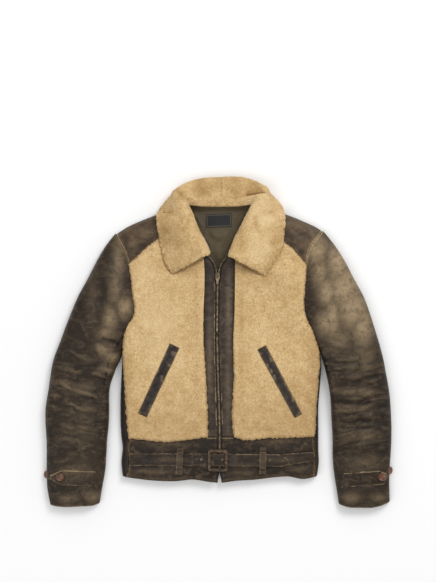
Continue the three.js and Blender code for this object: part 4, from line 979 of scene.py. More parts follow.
def build_strip(node, seam, side, length, first_gap):
    """Leather that turns round the side fold, from its seam to the floor."""
    angle = np.linspace(0, 1, 15) * math.pi / 2
    share = np.sin(angle)
    down = shares(length, 2.2)
    inner, outer = smooth_line(seam, down), smooth_line(side, down)
    plan = inner[:, None] + (outer - inner)[:, None] * share[None, :, None]
    plan = shrink(plan, (0.15, 0.15, first_gap, 0))
    x, y = plan[..., 0], plan[..., 1]
    top = level(x[:, :1], y[:, :1]) + 0.5
    height = REST + (top - REST) * np.cos(angle)[None]
    edges = in_from_edges(plan)
    height = height + dips(edges, 0.9, 1.8, (0, 0, 1, 0)) + creep(x, y, 1.2) * np.cos(angle)[None]
    points = lifted(plan, np.maximum(height, REST))
    rub = np.exp(-(edges[2] / 1.6) ** 2) * 0.5 + 0 * x
    piece = cloth(node, points, "side", values={"rub": rub, "ridge": 0 * rub})
    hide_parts(node)


def build_placket(name, half):
    across, down = shares(30, 1.2, (0.5, 1.2, 2.4)), shares(420, 1.8)
    edge, zip_edge = smooth_line(half["placket_edge"], down), smooth_line(half["zip_edge"], down)
    top = smooth_line(half["placket_top"], across)
    bottom = edge[-1] + (zip_edge[-1] - edge[-1]) * across[:, None]
    plan = shrink(patch(top, bottom, edge, zip_edge, across, down))
    x, y = plan[..., 0], plan[..., 1]
    edges = in_from_edges(plan)
    height = level(x, y) + 1 + creep(x, y, 2.2) + folds(PLACKET_FOLDS[name], x, y)
    height += dips(edges, 1.3, 2, (0, 1, 0.6, 0.8))
    wear = (2.2 + 2.2 * drift((x * 0, y), 19, 31) + 1.2 * drift((x * 0, y), 7, 32)) * (
        1 if name == "right" else 0.55)
    rub = 0.9 * soft((wear - edges[3]) / 1.6) * soft((edges[0] - 60) / 20)
    points = lifted(plan, height)
    piece = cloth(f"placket_{name}", points, "placket", values={"rub": rub})
    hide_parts(f"placket_{name}")


def build_band(name, half):
    down = shares(98, 1.8)
    across = shares(215, 2)
    split = np.searchsorted(across, 0.88)
    placket_end, zip_end = np.array(half["placket_edge"][-1], float), np.array(half["zip_edge"][-1], float)
    last_part = (across[split:] - 0.88) / 0.12
    top = np.vstack([smooth_line(half["band_top"], across[:split] / 0.88),
                     placket_end + (zip_end - placket_end) * last_part[:, None]])
    plan = shrink(patch(top, smooth_line(half["hem"], across), smooth_line(half["band_seam"], down),
                        smooth_line(half["band_zip"], down), across, down))
    x, y = plan[..., 0], plan[..., 1]
    edges = in_from_edges(plan)
    height = level(x, y) + LIFT + creep(x, y, 2.4) + folds(BAND_FOLDS[name], x, y)
    height += dips(edges, 1.2, 2.2, (1, 0, 1, 0.7)) - 2.2 * np.exp(-(edges[1] / 1.8) ** 2)
    rub = 0.4 * np.exp(-((edges[2] - 0.5) / 1.6) ** 2) + 0.3 * np.exp(-(edges[1] / 1.4) ** 2)
    points = lifted(plan, height)
    piece = cloth(f"waistband_front_{name}", points, "band", values={"rub": rub})
    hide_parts(f"waistband_front_{name}")


def sleeve_edges(half, down):
    """A sleeve's two folded edges, with the corners of their outlines eased."""
    edges = []
    for key in ("sleeve_outer", "sleeve_inner"):
        line = smooth_line(half[key], down)
        for _ in range(60):
            line[1:-1] = (line[:-2] + 2 * line[1:-1] + line[2:]) / 4
        edges.append(line)
    return edges


def sleeve_crown(y, share):
    return look_up(SLEEVE_HEIGHT, y) + SLEEVE_CROWN * 4 * share * (1 - share)


def sleeve_plan(half, across, down):
    yoke_part = 0.27
    split = np.searchsorted(across, yoke_part)
    armhole = np.vstack([smooth_line(half["armhole_yoke"], across[:split] / yoke_part),
                         smooth_line(half["armhole_front"], (across[split:] - yoke_part) / (1 - yoke_part))])
    outer, inner = sleeve_edges(half, down)
    return shrink(patch(armhole, smooth_line(half["cuff"], across), outer, inner, across, down),
                  (0.12, 0, 0, 0))


def build_sleeve(name, half):
    """One tube of leather: the folded, creased face, and a flat underside that rests on the floor."""
    arc = np.linspace(0, math.pi / 2, 16)[:-1]
    turn = (1 - np.cos(arc)) * 0.13
    across = np.concatenate([turn, np.linspace(0.13, 0.87, 62), 1 - turn[::-1]])
    down = shares(440, 1.5, (0.8, 2, 4))
    plan = sleeve_plan(half, across, down)
    x, y = plan[..., 0], plan[..., 1]
    edges = in_from_edges(plan)
    near = np.minimum(edges[2], edges[3])
    along = edges[0]
    lively = soft(along / 70)
    wavy = (x + 3.5 * drift((x, y), 24, 78), y + 4 * drift((x, y), 21, 79))
    creases = folds(SLEEVE_FOLDS[name], *wavy) * (0.85 + 0.3 * drift((x, y), 17, 80))
    full = sleeve_crown(y, across[None]) + creases
    sideways = (x, y)
    full += 1.3 * drift(sideways, (62, 19), 71) * lively + 0.5 * drift(sideways, (30, 11), 72) * lively
    elbow = soft((30 - y) / 90) * mix(0.55, 1, soft((y + 300) / 90))
    slope = -0.22 if name == "left" else -0.12
    bent = y + slope * abs(x) + 3 * drift((x, y), (26, 30), 81)
    fine = wrinkles(x, bent, (52, 11), 73) + 0.8 * wrinkles(x, bent + 0.14 * abs(x), (40, 7), 74)
    full += (0.85 * fine) * elbow + 0.3 * wrinkles(x, y, (26, 30), 75) * lively + creep(x, y, 1.5)
    # The ridge values paint highlight on fold crests and shade in the creases of the sleeve.
    crest = np.sign(creases) * np.abs(creases / 3.6) ** 1.6
    ridge = np.clip(crest + 0.5 * fine * elbow + 0.12 * drift((x, y), 14, 77), -1, 1) * rounded(near, 14)
    top = mix(level(x, y), full, soft(along / HEAD_BLEND))
    height = FOLD_MIDDLE + (top - FOLD_MIDDLE) * rounded(near, FOLD_RADIUS)
    height += dips(edges, 0.9, 1.8, (1, 0, 0, 0)) * rounded(near, 6)
    hem = edges[1]
    height -= 1.1 * np.exp(-((hem - 9) / 1.5) ** 2) + 1.6 * np.exp(-(hem / 1.5) ** 2)
    face = lifted(plan, height)
    pick = np.unique(np.concatenate([np.arange(0, 16, 3), np.arange(18, 60, 7),
                                     np.arange(61, len(across), 3)]))
    pick = pick[(pick > 0) & (pick < len(across) - 1)]
    low = FOLD_MIDDLE + (0.2 + LEATHER - FOLD_MIDDLE) * rounded(near, 10)
    under = lifted(plan, low - LEATHER * rounded(near, 10))[:, pick][:, ::-1]
    ring = np.concatenate([face, under, face[:, :1]], axis=1)
    if half["toward_side"] > 0:
        ring = ring[:, ::-1]
    worn = 0.1 * soft((crest - 0.35) / 0.6) + 0.5 * np.exp(-(hem / 2) ** 2)
    shoulder = soft((0.29 - across[None]) / 0.03) * (1 if name == "left" else 0.25)
    worn += 0.95 * shoulder * np.exp(-((edges[0] - 2.2) / 1.4) ** 2)
    values = {}
    for key, value in (("rub", worn), ("ridge", ridge)):
        whole = np.concatenate([value, np.zeros((len(value), len(pick))), value[:, :1]], axis=1)
        values[key] = whole[:, ::-1] if half["toward_side"] > 0 else whole
    piece = cloth(f"sleeve_{name}", ring, "sleeve", joined=True, values=values)
    panels[f"sleeve_face_{name}"] = face
    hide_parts(f"sleeve_top_{name}", f"sleeve_under_{name}")
    return piece


def build_back():
    right, left = HALVES["right"], HALVES["left"]
    down, across = shares(560, 9), shares(480, 9)
    cuts = (0.14, 0.6)
    a, b = np.searchsorted(down, cuts[0]), np.searchsorted(down, cuts[1])

    def edge(half):
        return np.vstack([smooth_line(half["armhole_yoke"], down[:a] / cuts[0]),
                          smooth_line(half["armhole_front"], (down[a:b] - cuts[0]) / (cuts[1] - cuts[0])),
                          smooth_line([half["front_side"][0], *half["body_side"]],
                                      (down[b:] - cuts[1]) / (1 - cuts[1]))])

    first, last = edge(right), edge(left)
    a, b = np.searchsorted(across, 0.36), np.searchsorted(across, 0.64)
    top = np.vstack([smooth_line(right["shoulder"], across[:a] / 0.36),
                     smooth_line(NECK_LINE, (across[a:b] - 0.36) / 0.28),
                     smooth_line(left["shoulder"][::-1], (across[b:] - 0.64) / 0.36)])
    bottom = first[-1] + (last[-1] - first[-1]) * across[:, None]
    plan = shrink(patch(top, bottom, first, last, across, down), (0, 0.15, 0.6, 0.6))
    height = 2.5 + 0 * plan[..., 0]
    piece = cloth("back", lifted(plan, height), "leather", wall=2.3, values={"rub": 0 * height})
    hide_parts("back")
    band_down = shares(88, 6)
    hem = [[x, max(y, -318)] for x, y in right["band_side"]], [
        [x, max(y, -318)] for x, y in left["band_side"]]
    band = patch(bottom, smooth_line(BACK_HEM, across), smooth_line(hem[0], band_down),
                 smooth_line(hem[1], band_down),
                 across, band_down)
    band = shrink(band, (0.15, 0, 0, 0))
    height = 2.5 + 0 * band[..., 0]
    piece = cloth("waistband_back", lifted(band, height), "leather", wall=2.3, values={"rub": 0 * height})
    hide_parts("waistband_back")


def build_lining():
    across, down = shares(150, 1.5), shares(190, 1.6)
    top = smooth_line([[-88, 329], [0, 329], [96, 329]], across)
    bottom = smooth_line([[-34, 140], [32, 140]], across)
    plan = patch(top, bottom, smooth_line(LINING_EDGES["right"], down),
                 smooth_line(LINING_EDGES["left"], down),
                 across, down)
    x, y = plan[..., 0], plan[..., 1]
    height = REST + 1.6 + 9 * soft((y - 314) / 15) + folds(LINING_FOLDS, x, y) + 0.4 * drift((x, y), 24, 80)
    under_label = soft((40 - np.abs(x - 2)) / 8) * soft((24 - np.abs(y - 292)) / 6)
    height = mix(height, REST + 1.6, under_label * 0.9)
    points = lifted(plan, np.maximum(height, REST + 0.6))
    piece = cloth("back_lining", points, "lining", wall=0.8)
    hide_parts("back_lining")


def under_collar(x, y):
    """Height of what lies under the collar."""
    result = np.zeros(np.shape(x))
    for name, chosen in (("right", x < 0), ("left", x >= 0)):
        rows = HALVES[name]["shoulder"]
        nearest = np.full(np.shape(x), 1e9)
        below = y < 322
        for a, b in zip(rows, rows[1:]):
            nearest = np.minimum(nearest, to_line(x, y, a, b)[0])
            share = (x - a[0]) / (b[0] - a[0])
            within = (share >= 0) & (share <= 1)
            below = np.where(within, y < mix(a[1], b[1], share), below)
        on_coat = REST + (level(x, y) + PRESSED_PILE - REST) * rounded(nearest, SHOULDER_RADIUS)
        off_coat = REST * soft(1 - nearest / 8)
        result = np.where(chosen, np.where(below, on_coat, off_coat), result)
    return result


def build_collar():
    """A thick band of fleece: from the neck seam over a roll to its edge, closed round its rim."""
    stations = shares(700, 1.3, (0.8, 1.8, 3.2))
    inner = smooth_line([row["inner"] for row in COLLAR], stations)
    outer = smooth_line([row["outer"] for row in COLLAR], stations)
    turned = smooth_line([[*row["inner"], row["back"] * 10] for row in COLLAR], stations)[:, 2] / 10
    back = np.clip(turned, 0, 1)
    reach = outer - inner
    depth = np.linalg.norm(reach, axis=1)
    way = reach / depth[:, None]

    def at(distance, z):
        return np.column_stack([inner + way * np.reshape(distance, (-1, 1)), z])

    ground = under_collar(outer[:, 0] - way[:, 0] * 8, outer[:, 1] - way[:, 1] * 8)
    seam_ground = level(inner[:, 0], inner[:, 1]) + PRESSED_PILE + 0.3
    seam = at(mix(8, 0, back), mix(seam_ground, 21, back))
    roll = at(mix(26, depth - 5.5, soft(back / 0.65)), mix(61, 22, back))
    tucked = soft((back - 0.25) / 0.75)
    edge = at(mix(depth - 5, 5, tucked), mix(ground + COLLAR_HALF + 0.3, 6, tucked))
    centre = (8 * roll - seam - edge) / 6
    half = np.column_stack([way * 20, -24 * back])
    steps = np.linspace(0, 1, 121)[None, :, None]
    low, high = (centre - half)[:, None], (centre + half)[:, None]
    middle = ((1 - steps) ** 3 * seam[:, None] + 3 * (1 - steps) ** 2 * steps * low
              + 3 * (1 - steps) * steps**2 * high + steps**3 * edge[:, None])
    share = np.empty(middle.shape[:2])
    for row, line in enumerate(middle):
        run = lengths(line)
        even = np.linspace(0, run[-1], COLLAR_STEPS)
        share[row] = np.interp(even, run, steps[0, :, 0])
        middle[row] = np.stack([np.interp(even, run, line[:, k]) for k in range(3)], axis=1)
    x, y = middle[..., 0], middle[..., 1]
    reach5 = [(0, 0), (5, 0), (-5, 0), (0, 5), (0, -5)]
    around = np.max([under_collar(x + dx, y + dy) for dx, dy in reach5], axis=0)
    floor = np.where(share > 0.5, around + COLLAR_HALF + 0.3, 0)
    middle[..., 2] = np.maximum.reduce([middle[..., 2], floor, np.full(x.shape, COLLAR_HALF + 0.1)])
    for _ in range(3):
        middle[1:-1, :, 2] = (middle[:-2, :, 2] + 2 * middle[1:-1, :, 2] + middle[2:, :, 2]) / 4
    n = -normals_of(middle)
    end_rows = np.minimum(lengths(middle[:, 60])[:, None], lengths(middle[::-1, 60])[::-1][:, None])
    thin = mix(0.25, 1, rounded(end_rows, 9))[..., None]
    face = middle + n * COLLAR_HALF * thin
    coarse = np.linspace(COLLAR_STEPS - 1, 0, 26).astype(int)
    under = (middle - n * COLLAR_HALF * thin)[:, coarse]

    def cap(k, outward):
        rows = []
        for angle in np.linspace(0, math.pi, 9)[1:-1]:
            out = outward * math.sin(angle) * COLLAR_HALF * thin[:, 0]
            rows.append(middle[:, k] + n[:, k] * math.cos(angle) * COLLAR_HALF * thin[:, 0] + out)
        return np.stack(rows, axis=1)

    tip = middle[:, -1] - middle[:, -4]
    tip /= np.linalg.norm(tip, axis=1, keepdims=True)
    root = middle[:, 0] - middle[:, 3]
    root /= np.linalg.norm(root, axis=1, keepdims=True)
    under_start = cap(0, root)[:, ::-1]
    ring = np.concatenate([face, cap(COLLAR_STEPS - 1, tip), under, under_start, face[:, :1]], axis=1)
    out = -normals_of(ring)
    columns = ring.shape[1]
    k = np.arange(columns)
    shown = np.where(k < COLLAR_STEPS + 7, 1.0, 0.25)
    x, y, z = np.moveaxis(ring, 2, 0)
    pushed = np.zeros(ring.shape[:2])
    for a, b, depth_mm, width in COLLAR_CREASES:
        distance, along = to_line(x, y, a, b)
        pushed -= depth_mm * np.exp(-(distance / width) ** 2) * soft(along / 0.1 + 0.6) * (
            k < COLLAR_STEPS + 7)
    # The left leaf rolls over and stands proud of the band behind the neck
    a, b = COLLAR_STEP
    distance, along = to_line(x, y, a, b)
    over = distance * side_of_line(x, y, a, b)
    ends = soft(along / 0.2 + 0.3) * soft((1 - along) / 0.25 + 0.2)
    pushed += 3.5 * np.tanh(-over / 2.2) * np.exp(-(distance / 13) ** 2) * ends * (k < COLLAR_STEPS + 7)
    pushed += (1.5 * drift((x, y), 46, 90) + 0.9 * drift((x, y), 22, 91)) * shown
    at_rim = np.exp(-((k - COLLAR_STEPS - 3) / 7.0) ** 2) + np.exp(-(end_rows / 6) ** 2) * shown
    pushed += (1.7 * drift((x, y, z), 5.5, 92) + 1.3 * drift((x, y, z), 3.2, 93)) * at_rim
    ring = ring + out * pushed[..., None]
    points, pile, value = woolly(ring, out, shown[None] * mix(0.4, 1, rounded(end_rows, 5)), 110)
    points[:, -1] = points[:, 0]
    points[..., 2] = np.maximum(points[..., 2], 0.6)
    # Creases in the collar get painted shade: a lower pile colour and a higher shade value.
    crease = np.clip(-pushed / 3, 0, 1)
    mesh = grid_mesh("collar_wool", points, joined=True,
                     values={"pile": np.clip(pile - 0.35 * crease, 0, 1), "curl": value, "rim": 0 * pile + 1,
                             "painted_shade_and_light": np.clip(painted_shade_and_light(x, y) + 0.6 * crease, -1, 1)})
    close_ends(mesh)
    wool = finish_piece("collar_wool", mesh, "fleece")
    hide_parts("collar")


def close_ends(mesh):
    """Caps the open ends of a tube and turns its faces outwards."""
    shape = bmesh.new()
    shape.from_mesh(mesh)
    bmesh.ops.holes_fill(shape, edges=[e for e in shape.edges if e.is_boundary], sides=0)
    bmesh.ops.recalc_face_normals(shape, faces=shape.faces)
    shape.to_mesh(mesh)
    shape.free()


def ribbon(line, halves, base_at, columns=9):
    """A strap's upper face along a line of [x, y] points. Its rim rolls over a little."""
    line = np.array(line, float)
    along = np.gradient(line, axis=0)
    along /= np.linalg.norm(along, axis=1, keepdims=True)
    side = np.column_stack([-along[:, 1], along[:, 0]])
    t = np.sin(np.linspace(-1, 1, columns) * math.pi / 2)
    plan = line[:, None] + side[:, None] * (np.reshape(halves, (-1, 1)) * t)[..., None]
    x, y = plan[..., 0], plan[..., 1]
    rim = np.reshape(halves, (-1, 1)) * (1 - np.abs(t))
    return lifted(plan, base_at(x, y) + STRAP), rim


def strap(name, line, halves, base_at, slot="belt", columns=15, ends=(1, 1), turn=0.5):
    points, rim = ribbon(line, halves, base_at, columns)
    x, y = points[..., 0], points[..., 1]
    run = lengths(np.array(line, float))[:, None]
    end = np.minimum(np.where(ends[0], run, 99), np.where(ends[1], run[-1] - run, 99))
    edge = np.minimum(rim, end)
    points[..., 2] += creep(x, y, 1.3) - turn * np.exp(-(edge / 0.7) ** 2) - 0.25 * np.exp(
        -((edge - 2.6) / 0.5) ** 2)
    uneven = mix(0.25, 1, soft(0.55 + 1.1 * drift((x, y), 9, 51)))
    piece = cloth(name, points, slot, wall=STRAP - 0.2, values={"rub": 0.9 * uneven
                                                                * np.exp(-(edge / 1.2) ** 2)})
    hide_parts(name)
    return piece


def band_top(x, y):
    return level(x, y) + LIFT


def belt_base(x, y):
    return band_top(x, y) + LIFT


def line_between(a, b, step=1.6):
    count = max(4, round(math.dist(a, b) / step))
    return np.linspace(a, b, count + 1)


def build_belt():
    right = line_between((-213, -282), (-13, -282))
    strap("belt_right", right, np.full(len(right), BELT_HALF), belt_base)
    x = np.linspace(48, 232, 116)
    left = np.column_stack([x, mix(-283, -276, soft((x - 140) / 90))])
    strap("belt_left", left, mix(BELT_HALF - 1, 11.5, soft((x - 150) / 80)), belt_base)
    x = np.concatenate([np.linspace(-12.5, 149, 104)[:-1], np.linspace(149, 172, 22)])
    y = np.where(x < 140, mix(-282, -284, x / 170), mix(-284, -288, (x - 140) / 32))
    halves = np.interp(x, [149, 160, 168, 172], [14, 10.5, 6, 1.5], left=BELT_HALF)
    halves = np.where(x < 149, mix(BELT_HALF, 14, soft((x - 141) / 8)), halves)
    strap("belt_tongue", np.column_stack([x, y]), halves,
          lambda px, py: belt_base(px, py) + (STRAP + LIFT) * soft((px - 26) / 20), turn=0.7)


def build_loop(name, half):
    lift = STRAP + LIFT if name == "right" else 2 * (STRAP + LIFT)
    line = line_between(half["loop"]["from"], half["loop"]["to"], 0.9)

    def base(x, y):
        on_belt = soft((BELT_HALF + 7 - np.abs(y - BUCKLE_Y)) / 3)
        return band_top(x, y) + LIFT + (lift + LIFT) * on_belt

    strap(f"belt_loop_{name}", line, np.full(len(line), LOOP_HALF), base, slot="loop", ends=(0, 0), turn=0.9)


def build_welt(name, half):
    welt = half["welt"]
    line = line_between(welt["from"], welt["to"], 1.4)
    share = np.linspace(0, 1, len(line))
    halves = mix(*welt["half_widths"], share) + 0.5 * drift((share * 9, share * 0), 1, 44)
    points, rim = ribbon(line, halves, lambda x, y: level(x, y) + 3.3 + 4.5 - STRAP, 17)
    x, y = points[..., 0], points[..., 1]
    run = lengths(line)[:, None]
    end = np.minimum(run, run[-1] - run)
    width = np.reshape(halves, (-1, 1))
    points[..., 2] += 1.6 * (rounded(rim, 5) - 1) - 1.2 * np.exp(-(end / 2) ** 2) + creep(x, y, 2.2)
    points[..., 2] += -0.9 * np.exp(-(((rim - width) / 1.6) ** 2)) * 0.6
    rub = 0.75 * np.exp(-(rim / 1.6) ** 2) + 0.6 * soft(drift((x, y), (9, 14), 47) * 2.4 - 0.6)
    piece = cloth(f"welt_{name}", points, "welt", wall=2.6, values={"rub": rub})
    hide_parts(f"welt_{name}")


def sleeve_height(name, x, y):
    """Height of the sleeve's face at points near the cuff, taken from its own grid."""
    face = panels[f"sleeve_face_{name}"]
    rows = np.interp(-np.ravel(y), -face[:, 40, 1], np.arange(len(face)))
    result = []
    for px, row in zip(np.ravel(x), rows):
        strip = face[int(round(row))]
        order = np.argsort(strip[:, 0])
        result.append(np.interp(px, strip[order, 0], strip[order, 2]))
    return np.reshape(result, np.shape(x))


def build_tab(name, half):
    tab = half["tab"]
    line = np.vstack([line_between(tab["from"], tab["knee"], 1.3)[:-1],
                      line_between(tab["knee"], tab["tip"], 1.3)])
    run = lengths(line)
    knee = math.dist(tab["from"], tab["knee"])
    halves = np.where(run <= knee, tab["half"], mix(tab["half"], tab["tip_half"],
                                                    (run - knee) / (run[-1] - knee)))

    def base(x, y):
        return sleeve_height(name, x, y) + 0.5

    strap(f"cuff_tab_{name}", line, halves, base, slot="sleeve", columns=27, turn=0.6)


def build_button(name, half, number):
    x, y, turn, _ = half["buttons"][number - 1]
    node = f"button_{name}_{number}"
    shape = bmesh.new()
    profile = [(0, 3.0), (2.2, 3.0), (2.6, 3.1), (6.4, 3.1), (7.0, 3.5), (7.6, 4.0), (8.4, 4.05),
               (9.1, 3.6), (9.5, 2.7),
               (9.5, 1.4), (9.0, 0.5), (7.9, 0.05), (0, 0)]
    rim = [shape.verts.new((r * MM, 0, z * MM)) for r, z in profile]
    line = [shape.edges.new(pair) for pair in zip(rim, rim[1:])]
    bmesh.ops.spin(shape, geom=rim + line, cent=(0, 0, 0), axis=(0, 0, 1), angle=math.tau, steps=48)
    bmesh.ops.remove_doubles(shape, verts=shape.verts, dist=2e-6)
    bmesh.ops.recalc_face_normals(shape, faces=shape.faces)
    low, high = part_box(node)
    spot = (np.array(low) + np.array(high)) / 2
    place = Matrix.Rotation(math.radians(-turn), 4, "Y")
    bmesh.ops.transform(shape, matrix=place, verts=shape.verts)
    size = [max(v.co[k] for v in shape.verts) + min(v.co[k] for v in shape.verts) for k in range(3)]
    bmesh.ops.translate(shape, vec=[spot[k] - size[k] / 2 for k in range(3)], verts=shape.verts)
    mesh = bpy.data.meshes.new(node)
    shape.to_mesh(mesh)
    shape.free()
    piece = finish_piece(f"{node}_disc", mesh, "button")
    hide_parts(node)


def metal_copy(node, bevel_width, slot="bronze", body="coat"):
    """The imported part's own shape with its flat faces joined and its edges rounded."""
    shape = bmesh.new()
    shape.from_mesh(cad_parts[node].data)
    bmesh.ops.remove_doubles(shape, verts=shape.verts, dist=1e-6)
    bmesh.ops.dissolve_limit(shape, angle_limit=math.radians(4), verts=shape.verts, edges=shape.edges)
    sharp = [e for e in shape.edges if len(e.link_faces) == 2 and e.calc_face_angle() > math.radians(50)]
    bmesh.ops.bevel(shape, geom=sharp, offset=bevel_width * MM, offset_type="OFFSET", segments=3, profile=0.5,
                    affect="EDGES", material=-1, clamp_overlap=True)
    bmesh.ops.triangulate(shape, faces=shape.faces)
    bmesh.ops.recalc_face_normals(shape, faces=shape.faces)
    mesh = bpy.data.meshes.new(node)
    shape.to_mesh(mesh)
    shape.free()
    piece = finish_piece(f"{node}_metal", mesh, slot, body)
    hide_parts(node)
    return piece


def along_zip(half, high):
    edge = [*smooth_line(half["zip_edge"], np.linspace(0, 1, 300))]
    tail = smooth_line(half["band_zip"], np.linspace(0, 1, 110))
    line = np.vstack([edge[:-1], [p for p in tail if p[1] > ZIP_BOTTOM]])
    return line[line[:, 1] < high]


def build_zip(name, half):
    toward = -half["toward_side"]
    line = along_zip(half, 207)
    reach = mix(0.8, 5.6, soft((line[:, 1] - ZIP_BOTTOM) / 26))
    width = mix(-5.2, reach[:, None], np.linspace(0, 1, 9)[None])
    plan = line[:, None] + np.array([toward, 0]) * width[..., None]
    height = level(plan[..., 0], plan[..., 1]) + ZIP_LEVEL + 0.15 * np.sin(plan[..., 1] * 1.2)
    tape = lifted(plan, height)
    if toward > 0:
        tape = tape[:, ::-1]
    piece = cloth(f"zip_tape_{name}_cloth", tape, "zip_tape", wall=1)
    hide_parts(f"zip_tape_{name}")
    # Teeth: small rounded blocks on the tape's edge, the two rows half a step apart
    pitch = 2.54
    run = lengths(line)
    start = 0 if name == "right" else pitch / 2
    teeth_end = np.interp(-TEETH_BOTTOM, -line[:, 1], run)
    stops = np.arange(start + 1, teeth_end, pitch)
    centre = np.column_stack([np.interp(stops, run, line[:, k]) for k in (0, 1)])
    centre[:, 0] += toward * 5.0
    closed = soft((158 - centre[:, 1]) / 12)
    centre[:, 0] += toward * (1 - closed) * 0.4
    z = level(centre[:, 0], centre[:, 1]) + ZIP_LEVEL + 1.0
    shape = bmesh.new()
    bmesh.ops.create_cube(shape, size=1)
    bmesh.ops.bevel(shape, geom=shape.edges[:], offset=0.2, offset_type="OFFSET", segments=1, profile=0.5,
                    affect="EDGES", material=-1)
    tooth = np.array([v.co[:] for v in shape.verts]) * [3.2, 1.5, 1.9]
    faces = [[v.index for v in f.verts] for f in shape.faces]
    shape.free()
    many = copies(f"zip_teeth_{name}", tooth, faces, np.column_stack([centre, z]), np.zeros(len(z)), "bronze")
    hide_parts(f"zip_chain_{name}")


def copies(name, shape, faces, places, turns, slot, tilts=None):
    """One mesh of many small copies, each turned about Z and tilted along its length."""
    c, s = np.cos(turns)[:, None], np.sin(turns)[:, None]
    px, py, pz = (np.repeat(shape[None, :, k], len(places), axis=0) for k in range(3))
    if tilts is not None:
        pz = pz + px * np.tan(tilts)[:, None]
    points = np.stack([px * c - py * s, px * s + py * c, pz], axis=2) + places[:, None]
    count = len(shape)
    index = [[v + k * count for v in f] for k in range(len(places)) for f in faces]
    mesh = bpy.data.meshes.new(name)
    mesh.from_pydata((points.reshape(-1, 3) * MM).tolist(), [], index)
    mesh.update()
    return finish_piece(name, mesh, slot)


def edge_line(points, side, distance):
    """The line on a panel that runs at a distance in from one of its edges."""
    grid = {"top": points.transpose(1, 0, 2), "bottom": points[::-1].transpose(1, 0, 2),
            "first": points, "last": points[:, ::-1]}[side]
    line = []
    for row in grid:
        run = lengths(row[:, :2])
        line.append([np.interp(distance, run, row[:, k]) for k in range(3)])
    return np.array(line)


def stitch_shape():
    """One stitch: a short thread that bulges in the middle and dips into the leather at its ends."""
    shape = bmesh.new()
    bmesh.ops.create_uvsphere(shape, u_segments=6, v_segments=4, radius=0.5)
    points = np.array([v.co[:] for v in shape.verts])[:, [2, 0, 1]]
    faces = [[v.index for v in f.verts] for f in shape.faces]
    shape.free()
    return points, faces


def stitch(name, line, pitch=3.4, thread=0.75, slot="thread", part=(0, 1), wander=0.12):
    """A row of stitches along a line on the surface."""
    run = lengths(line)
    total = run[-1]
    stops = np.arange(part[0] * total + pitch / 2, part[1] * total - pitch / 4, pitch)
    if len(stops) < 2:
        return None
    places = np.column_stack([np.interp(stops, run, line[:, k]) for k in range(3)])
    ahead = np.column_stack([np.interp(stops + 0.8, run, line[:, k]) for k in range(3)])
    behind = np.column_stack([np.interp(stops - 0.8, run, line[:, k]) for k in range(3)])
    way = ahead - behind
    turns = np.arctan2(way[:, 1], way[:, 0])
    flat = np.maximum(np.hypot(way[:, 0], way[:, 1]), 1e-6)
    tilts = np.clip(np.arctan2(way[:, 2], flat), -1.1, 1.1)
    k = np.arange(len(places))
    sway = (scatter_value([k], 5) - 0.5) * wander * 2
    places[:, 0] -= np.sin(turns) * sway
    places[:, 1] += np.cos(turns) * sway
    places[:, 2] += 0.18
    points, faces = stitch_shape()
    body = points * [pitch * 0.8, thread, thread * 0.8]
    return copies(name, body, faces, places, turns + (scatter_value([k], 9) - 0.5) * 0.12, slot, tilts)


